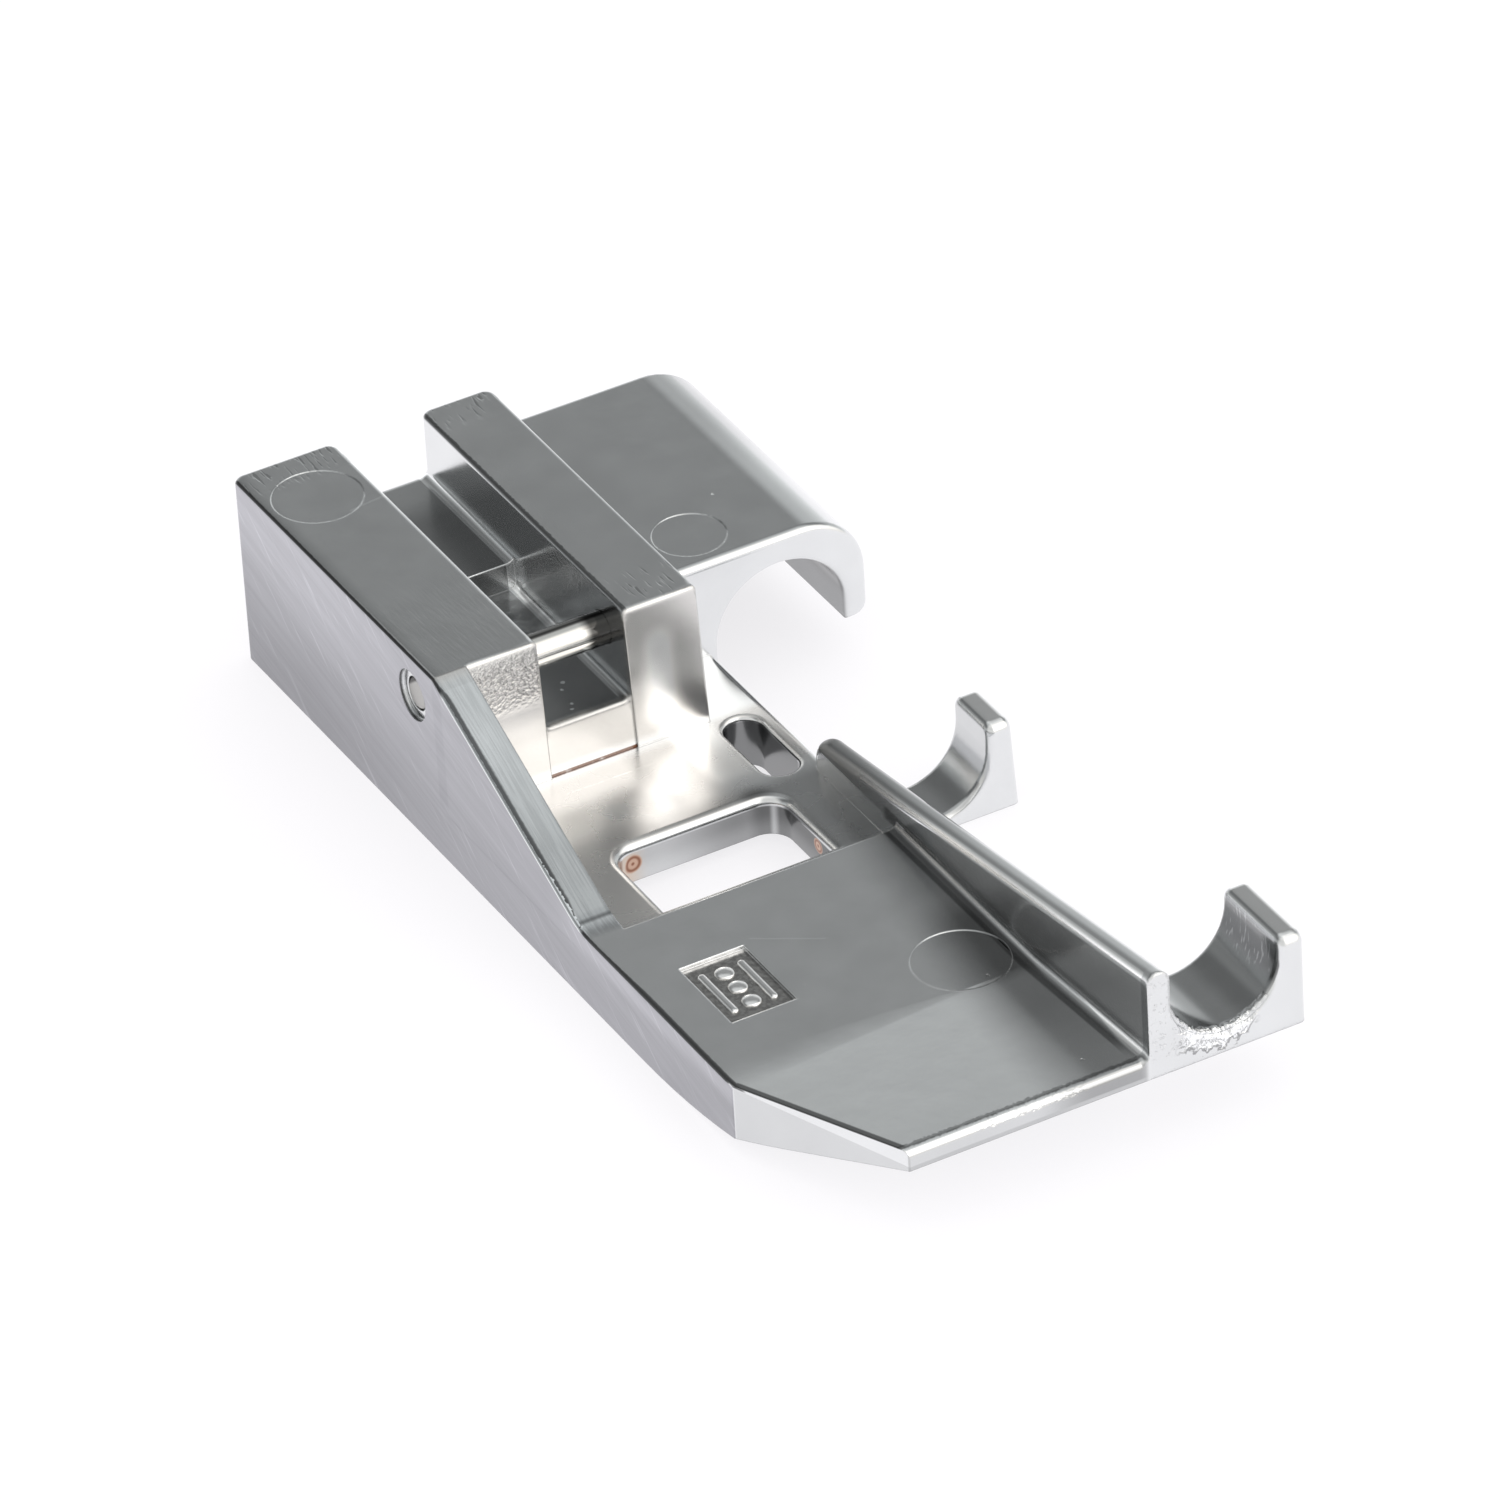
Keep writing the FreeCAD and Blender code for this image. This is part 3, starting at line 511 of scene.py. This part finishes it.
# %% Plated casting: lines
def lines_along(place, turn, pull, width, detail):
    """A noise pulled long: turned about the axis across the foot, then squeezed along two axes."""
    settings = {"vector_type": "POINT"}
    rotation = (math.radians(turn), 0, 0)
    turned = place.node("ShaderNodeMapping", settings, {"Vector": place, "Rotation": rotation})
    squeezed = turned.node("ShaderNodeMapping", settings, {"Vector": turned, "Scale": pull})
    return squeezed.grain(width * MM, detail)


streak = lines_along(place, -11, (1.0, 0.02, 1.0), 0.09, 3.0)
broad_streak = lines_along(place, -11, (1.0, 0.02, 1.0), 0.5, 2.0)
steep_streak = lines_along(place, -38, (1.0, 0.04, 1.0), 0.16, 2.0)
strip_streak = lines_along(place, -23, (1.0, 0.03, 0.2), 0.07, 2.0)
nick = lines_along(place, 0, (1.0, 0.13, 0.3), 0.13, 1.0)
hook_nick = lines_along(place, 8, (0.6, 1.0, 0.16), 0.12, 1.0)
count_nodes("lines")


# %% Plated casting: marks
def stroke(place, first, last, width):
    """One where a place lies on a straight scratch of that width, between two given points."""
    way = last - first
    from_first = place.node("ShaderNodeVectorMath", {"operation": "SUBTRACT"}, {0: place, 1: first})
    sockets = {0: from_first, 1: way / way.length_squared}
    along = from_first.node("ShaderNodeVectorMath", {"operation": "DOT_PRODUCT"}, sockets, "Value")
    reached = along.larger(0.0).smaller(1.0)
    nearest = reached.node("ShaderNodeVectorMath", {"operation": "SCALE"}, {0: way, "Scale": reached})
    sockets = {0: from_first, 1: nearest}
    away = nearest.node("ShaderNodeVectorMath", {"operation": "DISTANCE"}, sockets, "Value")
    return (away / MM).fall(width * 0.4, width)


def reach_from(place, centre):
    """How far a place is from a point, in millimetres."""
    return place.node("ShaderNodeVectorMath", {"operation": "DISTANCE"}, {0: place, 1: centre}, "Value") / MM


toe_scratch = stroke(place, at(4.8, 29.4, TOE_TOP), at(7.0, 30.85, TOE_TOP), 0.045)
scratch = toe_scratch * 0.7
rail_scratch = stroke(place, at(2.68, 4.31, RAIL_TOP), at(4.14, 4.17, RAIL_TOP), 0.09)
scratch = scratch.larger(rail_scratch * 0.9)
plate_scratch = stroke(place, at(4.2, 17.05, PLATE_TOP), at(7.6, 17.1, PLATE_TOP), 0.05)
scratch = scratch.larger(plate_scratch * ragged.rise(-0.1, 0.1))
ring_line = scratch * 0
ring_shade = scratch * 0
# Round ejector marks: a painted highlight on the rim, stronger toward the rear left, and painted shade on
# the rim's front right.
for centre, radius in ROUND_MARKS:
    toward_rear_left = ((centre[0] + centre[1]) - (across + forward)) / radius
    ring = reach_from(place, at(*centre)).near(radius, 0.05 + toward_rear_left.rise(0.2, 1.4) * 0.04)
    ring_line = ring_line.larger(ring * (0.72 + toward_rear_left * 0.34))
    ring_shade = ring_shade.larger(ring * toward_rear_left.fall(-1.0, 0.5) * ragged.rise(-0.12, 0.05))
nicked = forward.within(0.1, 1.5, 0.3) * height.rise(7.70, 7.75) * nick.rise(0.58, 0.64)
front_nicked = forward.within(13.6, 15.2, 0.4) * height.rise(7.70, 7.75) * nick.rise(0.60, 0.66)
nicked = nicked.larger(front_nicked * across.rise(7, 8))
hook_nicked = hook_hollow * height.rise(4.6, 5.0) * across.rise(16.6, 17.2) * hook_nick.rise(0.60, 0.68)

fleck = ring_line * 0
for spot in POCKET_FLECKS + (TOE_FLECK,):
    fleck = fleck.larger((reach_from(place, at(*spot)) + ragged * 0.25).fall(0.05, 0.09))
print("round marks:", len(ROUND_MARKS), "flecks:", len(POCKET_FLECKS) + 1)

# %% [markdown]
# Edges tell most about how such a part was made. The milling cutter leaves a ragged bright burr
# along the sloping strip, and the tone is darker in a thin line where the flat side meets the
# plated top. Both are read from the same number, the distance from the milled side.

# %% Plated casting: edge lines
frayed = across + ragged * 0.05
border_width = 0.12 + forward.within(16, 25, 0.5) * 0.14 + forward.rise(27, 31) * 0.09
dark_edge = frayed.fall(border_width * 0.8, border_width * 1.2) * upper * height.rise(1.6, 2.0) * before_rear
dark_edge = dark_edge * height.rise(2.88, 2.93).larger(forward.fall(36.3, 36.5))
burr_width = 0.085 + forward.rise(22, 25) * 0.05
chipped = across + ragged * (0.04 + forward.rise(22, 24) * 0.30)
burr = across.rise(0.003, 0.012) * chipped.fall(burr_width, burr_width + 0.02)
burr = burr * forward.within(16.0, 25.8, 0.2) * height.rise(2.2, 2.4)
inner_edge = across.near(STRIP_SIDE, 0.06) * forward.within(15.6, 25.3, 0.2) * height.rise(2.5, 2.8)
from_corner = across - (forward - CORNER_START) * CORNER_SLOPE
above_tip = height - TOE_TOP - (forward - BEND_FORWARD) * TIP_SLOPE
corner_edge = from_corner.fall(0.20, 0.30) * above_tip.rise(-0.05, -0.03)
corner_edge = corner_edge * forward.within(CORNER_START, 43.6, 0.1)
corner_face = from_corner.fall(0.02, 0.05) * above_tip.fall(-0.05, -0.02)
corner_face = corner_face * forward.within(36.7, 44.1, 0.05) * across.rise(0.02, 0.04)
tip_front = forward.rise(43.90, 43.97) * across.fall(12.2, 12.4)
count_nodes("edge lines")

# %% Plated casting: seam at the front
lump = place.grain(0.34 * MM, 2.5) - 0.5
hook_mouth = at(HOOK_CENTRE[0], TIP, HOOK_CENTRE[1])
flash_ring = reach_from(place, hook_mouth) + lump * 1.2 + (across - HOOK_CENTRE[0]) * 0.12
flash_end = forward.rise(43.6, 43.8) * height.fall(4.4, 5.0) * across.within(13.6, 16.6, 0.35)
flash = flash_ring.within(2.0, 2.82, 0.07) * flash_end
flash_border = flash_ring.near(2.86, 0.10) * flash_end
chip = forward.rise(43.5, 43.7) * across.within(5.6, 9.9, 0.3) * height.within(3.05, 3.45, 0.05)
front_pits = forward.rise(43.93, 43.97) * across.within(12.5, 14.2, 0.3) * ragged.rise(0.10, 0.16)
front_pits = front_pits * height.rise(3.2, 3.6)
count_nodes("seam at the front")

# %% [markdown]
# Now the tone. It starts as an even grey with a little speckle, and each place on the casting
# makes it darker or lighter by a share. The shares come from comparing the photograph with
# the render one patch at a time. Most of them are painted light: painted shade in a hollow such
# as the groove or a slot, which sees only itself, and a painted highlight along a rail's edge.

# %% Plated casting: tone
BASE = 0.70
tone = 0.98 + speckle * 0.07
tone = tone * (0.95 + cloud * 0.10)
# Painted shade in the groove, eased at the right wall's foot, and inside the front hook's channel, strongest
# high up.
tone = tone.darker(groove, groove_shade - groove_foot * 0.55)
tone = tone.darker(hook_hollow, 0.20 + height.rise(4.0, 5.2) * 0.50)
# Painted shade inside the needle slot, deeper toward its right and higher up, less at a painted glint on its
# rear right corner; deep painted shade inside the oval slot.
slot_shade = 0.20 + across.rise(5.5, 9.0) * 0.34 + across.rise(9.2, 9.9) * 0.14
slot_shade = slot_shade + height.rise(0.6, 1.5) * 0.14
slot_glint = across.near(10.25, 0.16) * forward.fall(21.6, 21.8) * 0.34
tone = tone.darker(slot_walls, slot_shade - slot_glint).darker(oval_walls, 0.68)
# On the sloping strip: real file streaks, with painted shade deepening toward the front and the rear painted
# lighter.
tone = tone.darker(strip, forward.rise(18.0, 24.5) * 0.26 + strip_streak.rise(0.35, 0.65) * 0.16 - 0.14)
count_nodes("first tone")

# %% Plated casting: tone of the rails
# Painted light on the rails: painted shade on the left rail's front wall (mottled by its real pebbled skin),
# at the wall's top left and low on the front walls; a painted reflection across the right rail's front;
# painted shade along the tops' machined edge and the right rail's inner top edge; a painted highlight along
# the left rail's inner top edge.
tone = tone.darker(rail_front, 0.10 + peel.rise(0.50, 0.62) * 0.22)
tone = tone.darker(walls * across.fall(STRIP_SIDE, 1.5) * height.rise(6.9, 7.2), 0.12)
tone = tone.darker(walls * across.fall(8.9, 9.4) * height.fall(3.9, 4.6), 0.17)
right_front = walls * across.rise(7.7, 7.8) * height.within(3.2, 6.4, 0.6)
tone = tone.lighter(walls * across.rise(7.7, 7.8), 0.04)
middle_reflection = across.near(9.0, 0.9) * 0.72
tone = tone.lighter(right_front, middle_reflection - across.fall(7.9, 8.4) * height.fall(5.0, 5.8) * 0.25)
rail_top = height.rise(7.62, 7.70) * forward.fall(15.3, RAIL_FRONT)
banding = 1 - rail_top * across.fall(0.1, 0.7) * 0.22
tone = tone * (banding + rail_top * across.within(4.02, 4.3, 0.03) * 0.34)
tone = tone.darker(rail_top * (across + ragged * 0.12).within(7.68, 7.92, 0.03), 0.62)
count_nodes("tone of the rails")

# %% Plated casting: tone of the toe and the fin
# Painted light on the toe's top with painted shade toward the fin, and painted shade along the fin's side
# with a painted highlight on its left face toward the front.
toe = forward.rise(25.4, 25.6) * height.rise(2.85, 2.93) * across.fall(12.0, 12.4)
fin_shade = 0.62 + forward.rise(30.8, 33.0) * 0.28 - forward.rise(36.0, 36.8) * 0.20
fin_shade = fin_shade - forward.rise(38, TIP) * 0.20
tone = tone.lighter(toe, 0.22 - (across + (forward - 28) * 0.12).rise(9.6, 12.2) * fin_shade)
fin = across.within(12.2, 13.4, 0.05) * forward.within(20.3, 43.5, 0.1) * height.rise(3.0, 3.1)
tone = tone.darker(fin, forward.fall(20, 36) * 0.62 + 0.04)
tone = tone.lighter(fin * across.fall(12.50, 12.62) * forward.rise(22, 32), 1.25)
count_nodes("tone of the toe and the fin")

# %% Plated casting: tone of the plate
# Painted light on the plate: painted reflections on its rear left and rear right, painted shade toward its
# front, by the needle slot's corner and in its middle.
bright_left = across.fall(6.6, 7.4) * forward.fall(19.4, 20.6) * 0.24
bright_left = bright_left + reach_from(place, at(5.2, 19.0, PLATE_TOP)).fall(0.3, 1.3) * 0.22
bright_right = across.within(9.0, 10.6, 0.3) * forward.fall(19.0, 20.0) * 0.40
dark_right = across.rise(3.0, 8.0) * forward.rise(19.8, 21.0) * 0.38
dark_right = dark_right + reach_from(place, at(9.8, 20.9, PLATE_TOP)).fall(0.1, 0.9) * 0.35
dark_middle = reach_from(place, at(6.9, 19.6, PLATE_TOP)).fall(0.3, 1.2) * 0.22
tone = tone.lighter(plate, bright_left + bright_right - dark_right - dark_middle)
count_nodes("tone of the plate")

# %% Plated casting: tone of the edges and hollows
toe_lip = forward.near(TOE_REAR, 0.16) * height.rise(2.75, 2.85) * across.fall(12.2, 12.4)
shoulder = across.rise(16.6, 17.6) * forward.fall(3, 10) * height.rise(4.6, 5.0)
lip_inside = across.within(16.8, 18.55, 0.3) * forward.fall(11.9, 12.15) * height.fall(4.2, 4.7)
fin_foot = across.within(11.9, 12.5, 0.05) * height.within(2.9, 3.45, 0.06) * forward.within(25.6, 43.4, 0.2)
front_line = above_tip.rise(-0.05, -0.03) * (forward + ragged * 0.3).within(43.50, 43.70, 0.05)
front_line = front_line * across.fall(12.0, 12.3)
# Painted shade on the toe's rear rim, the hood's shoulder, inside the lip and along the fin's foot; a darker
# line along the toe's front top edge.
tone = tone.darker(toe_lip, 0.60).darker(shoulder, 0.22).darker(lip_inside, 0.74)
tone = tone.darker(fin_foot, 0.58).darker(front_line, 0.50)
# Painted highlight on the hook tops, held back at their outer edge.
hook_top = height.rise(6.40, 6.46) * forward.rise(39, 40)
hook_top = hook_top + height.rise(3.60, 3.66) * forward.within(21.35, 23.65, 0.1)
hook_top = hook_top * across.within(17.7, 18.6, 0.05)
tone = tone.lighter(hook_top, 0.68 - across.near(HOOK_EDGE, 0.10) * 0.7)
# Painted shade on the toe's cut corner face, the tip's front face, in the hood's bore and in the rear hook's
# hollow.
tone = tone.darker(corner_face, 0.14).darker(tip_front, 0.30)
hood_bore = across.within(13.2, 18.5, 0.05) * forward.fall(12.0, 12.1) * height.fall(5.0, 5.3)
rear_hollow = across.within(HOOK_LEFT, HOOK_RIGHT, 0.03) * forward.within(21.27, 23.83, 0.02)
tone = tone.darker(hood_bore, 0.40).darker(rear_hollow, 0.18)
tone = tone.darker(nicked, 0.28).lighter(hook_nicked, 0.7)
# Darker along the machined edge and the toe's corner edge; painted shade on the front right of the round
# marks' rims.
tone = tone.darker(dark_edge.larger(corner_edge), 0.76).darker(ring_shade, 0.32)
# Painted shade on the sunk panel's floor, mottled, and a painted highlight on the raised motif.
mottle = place.grain(0.20 * MM, 2.0).rise(0.40, 0.60)
on_motif = height.rise(PANEL_FLOOR + 0.01, PANEL_FLOOR + 0.07)
tone = tone.darker(panel, 0.45 - mottle * 0.20 - on_motif * 0.85)
# Painted highlights along the sloping strip's inner edge, on the round marks' rims and along the groove's
# step.
tone = tone.larger(burr * 1.38).larger(inner_edge * 1.2).larger(ring_line * 1.15)
tone = tone.larger(flash * 1.25).larger(step_line * 1.3)
tone = tone.darker(flash_border, 0.55).darker(flash * lump.near(-0.06, 0.04), 0.4)
tone = tone.lighter(scratch, 0.15).larger(fleck * 1.38)
count_nodes("tone of the edges and hollows")

# %% [markdown]
# Three greys make this metal. The plating carries a painted reflection tint: a little cool where
# it mirrors the open room and a little warm where it mirrors the casting itself. The milled side
# is darker and bluer. A few stains lie on top: tan and copper in the needle slot, where the layer
# under the plating shows, and a rust brown line where the wall meets the plate. A painted picture
# could carry all that too, but masks keep it sharp from any distance.

# %% Plated casting: colour
MILLED_GREY = (0.405, 0.405, 0.432, 1)
# Painted reflection tint: cool where the plating mirrors the room, warm on the walls, the plate and the
# panel.
cool_cast = tone.scaled((BASE * 0.985, BASE, BASE * 1.008, 1))
warm_cast = tone.scaled((BASE, BASE * 0.985, BASE * 0.965, 1))
warm = walls.larger(plate * (1 - across.rise(8.2, 10.2) * forward.rise(18.6, 20.4))).larger(panel)
cast = warm.paint(cool_cast, warm_cast)
cast = strip.paint(cast, tone.scaled((BASE * 0.965, BASE, BASE * 1.02, 1)))
side_tone = 0.70 + streak * 0.26 + broad_streak * 0.20 + steep_streak.rise(0.62, 0.72) * 0.22
# Painted shade on the milled side, darker toward the sole mostly at the rear, and a painted highlight along
# the top of its front part; the streaks are real.
low_shade = (height.rise(0.5, 7.5) * 0.48 - 0.30) * (1 - forward.rise(4, 22) * 0.75)
side_tone = side_tone * (1 + low_shade + forward.rise(23, 27) * height.rise(1.9, 2.5) * 0.22)
side = side_tone.scaled(MILLED_GREY)
colour = (machined * (1 - burr)).paint(cast, side)
count_nodes("colour")

# %% Plated casting: stains
TAN = (0.62, 0.48, 0.36, 1)
RUST = (0.16, 0.075, 0.045, 1)
COPPER = (0.50, 0.34, 0.26, 1)
DARK_COPPER = (0.24, 0.11, 0.07, 1)
tan = slot_walls * across.fall(4.3, 5.3) * 0.6
colour = tan.paint(colour, TAN)
brown = forward.within(WALL_FOOT - 0.05, WALL_FOOT + 0.09, 0.03)
brown = brown * height.within(PLATE_TOP - 0.05, PLATE_TOP + 0.09, 0.03)
strong = across.within(3.9, 8.0, 0.3) * 0.85 + across.within(7.7, 9.2, 0.2) * 0.60
brown = brown * strong * place.grain(0.5 * MM, 2.0).rise(0.12, 0.40)
colour = brown.paint(colour, RUST)
for centre, radius in COPPER_SPOTS:
    away = reach_from(place, at(*centre))
    disc = away.fall(radius * 0.95, radius * 1.25)
    ring = away.near(radius * 0.80, radius * 0.30).larger(away.fall(0.03, 0.10))
    colour = disc.paint(colour, COPPER)
    colour = ring.paint(colour, DARK_COPPER)
count_nodes("stains")

# %% [markdown]
# Some marks are too small to model: strokes, pits, nicks, the pebbled skin at the rail's front.
# They are a shallow relief that only turns the shading. The edges get the same help: a Bevel
# node looks at the faces close by and turns the shading over each edge, in a narrow band almost
# everywhere and in a wide one where the real casting is rounder.

# %% Plated casting: relief and gloss
NARROW_EDGE = 0.09
WIDE_EDGE = 0.28
rail_end = forward.within(10.5, 15.6, 1.5) * across.fall(4.3, 4.4) * height.rise(7.6, 7.7)
relief = cloud * 0.004 + peel * rail_front * 0.040 + nick * rail_end * 0.006
relief = relief - pit * 0.03 + machined * (streak * 0.0035) - nicked * 0.01
relief = relief + lump * flash * 0.30 + ragged * chip * 0.05 - front_pits * 0.02
roughness = 0.16 + cloud * 0.05 + machined * 0.16 + groove * 0.04 + walls * 0.07 + plate * 0.09
roughness = roughness + fin * forward.fall(21, 27) * 0.16
pocket_lip = across.within(4.25, 7.74, 0.02) * forward.within(15.2, 15.8, 0.1) * height.within(3.7, 4.3, 0.1)
soft = pocket_lip.larger(forward.rise(43.4, 43.7) * across.rise(12.3, 12.5))
soft = soft.larger(forward.within(15.0, 15.9, 0.05) * height.rise(7.2, 7.4) * across.rise(1.4, 1.6))
soft = soft.larger(forward.within(11.7, 12.4, 0.1) * across.rise(15.5, 16.5) * height.fall(5.0, 5.3))
narrow = softened(place, NARROW_EDGE)
wide = softened(place, WIDE_EDGE)
blended = narrow.node("ShaderNodeVectorMath", {"operation": "SUBTRACT"}, {0: wide, 1: narrow})
blended = soft.node("ShaderNodeVectorMath", {"operation": "SCALE"}, {0: blended, "Scale": soft})
blended = blended.node("ShaderNodeVectorMath", {"operation": "ADD"}, {0: blended, 1: narrow})
blended = blended.node("ShaderNodeVectorMath", {"operation": "NORMALIZE"}, {0: blended})
metal(place, colour, roughness, relief, blended)
count_nodes("relief and gloss")

# %% [markdown]
# The pin is a rod of drawn steel, pressed into a blind hole from the milled side, and the
# machine's ankle clips onto it inside the groove. Drawing leaves fine lines along the rod, so
# its noise is pulled long across the foot. The end on the milled side is rougher and painted
# darker. Inside the groove the rod carries painted shade toward the right rail and along its
# rear top, where it mirrors nothing but the groove.

# %% Pin finish
PIN_FORWARD = 13.74
PIN_HEIGHT = 6.10
steel, pin_place, pin_across, pin_forward, pin_height = finish("pin_polished")
drawn = pin_place.node("ShaderNodeVectorMath", {"operation": "MULTIPLY"}, {0: pin_place, 1: (0.05, 1, 1)})
lines = drawn.grain(0.05 * MM, 2.0)
pin_end = pin_across.fall(0.25, 0.35)
rear_up = (pin_height - PIN_HEIGHT) * 1.21 - (pin_forward - PIN_FORWARD) * 0.95
# Painted shade: darker toward the right rail and along the rod's rear top; the end on the milled side is
# painted darker too.
dulled_and_shaded = (1 - pin_across.rise(6.6, 7.1) * 0.90) * (1 - pin_end * 0.45)
dulled_and_shaded = dulled_and_shaded.darker(rear_up.rise(0.56, 0.74), 0.80)
shine = ((0.9 + lines * 0.1) * dulled_and_shaded).scaled((0.80, 0.79, 0.76, 1))
pin_roughness = 0.07 + lines * 0.05 + pin_end * 0.25
metal(pin_place, shine, pin_roughness, lines * 0.0005, softened(pin_place, 0.04))
print("pin finish:", len(steel.node_tree.nodes), "nodes")

# %% [markdown]
# Now the casting itself. It could be modelled afresh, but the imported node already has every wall
# where the drawing put it, so its welded copy becomes the visible piece. One thing is added: the
# toe bends upward without a crease on the real foot. Two cuts across the toe's top, close before
# and behind the bend, leave a narrow band there, and the smooth shading turns within that band.

# %% Foot shell
UPWARD = 0.9
bm = bmesh.new()
welded(bm, "foot_body")
for step in (-BEND_SOFT, BEND_SOFT):
    raised = [f for f in bm.faces if f.calc_center_median().z > (TOE_TOP - 0.05) * MM]
    top = [f for f in raised if f.normal.z > UPWARD]
    parts = top + list({e for f in top for e in f.edges}) + list({v for f in top for v in f.verts})
    place_of_cut = at(0, BEND_FORWARD + step, 0)
    bmesh.ops.bisect_plane(bm, geom=parts, dist=WELD, plane_co=place_of_cut, plane_no=(0, 1, 0))
foot = shaded_piece(bm, "foot", plated)
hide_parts("foot_body")

# %% [markdown]
# The pin's rod is taken over in the same way. As a piece of its own it keeps its own steel, and
# it lies in its hole exactly as the drawing fits it.

# %% Pin
bm = bmesh.new()
welded(bm, "hinge_pin")
pin = shaded_piece(bm, "pin", steel)
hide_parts("hinge_pin")

# %% [markdown]
# The sunk panel on the toe has a plain raised motif, three low pearls between two rounded bars,
# each standing a little over a tenth of a millimetre above the panel's floor. All five are one
# shape: a long or short pad whose outline shrinks as it rises.

# %% Panel motif
MOTIF_RISE = 0.13
PAD_SINK = 0.04
PAD_FOOT = 0.03
CURVE_STEPS = 6
END_STEPS = 12
PANEL_MIDDLE = 31.51
PEARL_ACROSS = 3.13
PEARL_PITCH = 0.96
PEARL_RADIUS = 0.36
BARS_ACROSS = (2.34, 3.92)
BAR_HALF_LENGTH = 1.15
BAR_RADIUS = 0.15


def outline(bm, centre, half_length, radius, height):
    """One closed ring of points around a pad: two half circles, half_length before and behind."""
    ring = []
    for step in range(2 * END_STEPS):
        turn = math.pi * (step + 0.5) / END_STEPS
        shift = half_length if step < END_STEPS else -half_length
        across = centre[0] + radius * math.cos(turn)
        ring.append(bm.verts.new(at(across, centre[1] - shift - radius * math.sin(turn), height)))
    return ring


def raised_pad(bm, centre, half_length, radius):
    """A pad with a rounded top and a small foot, closed below the panel's floor."""
    rings = [outline(bm, centre, half_length, radius + PAD_FOOT, PANEL_FLOOR - PAD_SINK)]
    rings.append(outline(bm, centre, half_length, radius + PAD_FOOT, PANEL_FLOOR))
    for step in range(CURVE_STEPS):
        turn = 0.5 * math.pi * step / CURVE_STEPS
        height = PANEL_FLOOR + PAD_FOOT + (MOTIF_RISE - PAD_FOOT) * math.sin(turn)
        rings.append(outline(bm, centre, half_length, radius * math.cos(turn), height))
    for low, high in zip(rings, rings[1:]):
        for step in range(len(low)):
            bm.faces.new((low[step], low[step - 1], high[step - 1], high[step]))
    bm.faces.new(rings[0])
    bm.faces.new(rings[-1])


bm = bmesh.new()
for step in (-1, 0, 1):
    raised_pad(bm, (PEARL_ACROSS, PANEL_MIDDLE + step * PEARL_PITCH), 0.0, PEARL_RADIUS)
pearls = shaded_piece(bm, "panel_pearls", plated)
bm = bmesh.new()
for bar_across in BARS_ACROSS:
    raised_pad(bm, (bar_across, PANEL_MIDDLE), BAR_HALF_LENGTH, BAR_RADIUS)
bars = shaded_piece(bm, "panel_bars", plated)

# %% [markdown]
# Where the die's halves met at the mouth of the front hook, the metal crept into the seam and
# set as a thin ragged ridge. It follows the channel's round floor, and its height wanders: a few
# waves of different length, added up, look as uneven as the real thing and stay the same in
# every run.

# %% Hook flash
CHANNEL_RADIUS = 2.22
FLASH_TURNS = (-168, -42)
FLASH_STEPS = 90
FLASH_HEIGHT = 0.09


def flash_height(turn):
    """How far the ridge stands into the channel at one angle round it."""
    waves = math.sin(turn * 31) + math.sin(turn * 53 + 1.0) + math.sin(turn * 97 + 2.0)
    ends = min(1.0, (turn - math.radians(FLASH_TURNS[0])) * 6, (math.radians(FLASH_TURNS[1]) - turn) * 6)
    return FLASH_HEIGHT * (0.55 + 0.2 * waves) * max(ends, 0.0)


bm = bmesh.new()
rows = []
for step in range(FLASH_STEPS + 1):
    share = step / FLASH_STEPS
    turn = math.radians(FLASH_TURNS[0] + (FLASH_TURNS[1] - FLASH_TURNS[0]) * share)
    rise = flash_height(turn)
    profile = [(0.06, 43.60), (-0.4 * rise, 43.68), (-rise, 43.80)]
    profile += [(-0.8 * rise, 43.92), (0.05, 43.985), (0.12, 43.96)]
    row = []
    for outward, forward_place in profile:
        radius = CHANNEL_RADIUS + outward
        place_across = HOOK_CENTRE[0] + radius * math.cos(turn)
        row.append(bm.verts.new(at(place_across, forward_place, HOOK_CENTRE[1] + radius * math.sin(turn))))
    rows.append(row)
for first, second in zip(rows, rows[1:]):
    for step in range(len(first)):
        bm.faces.new((first[step - 1], first[step], second[step], second[step - 1]))
bm.faces.new(rows[0])
bm.faces.new(rows[-1])
flash_ridge = shaded_piece(bm, "hook_flash", plated)
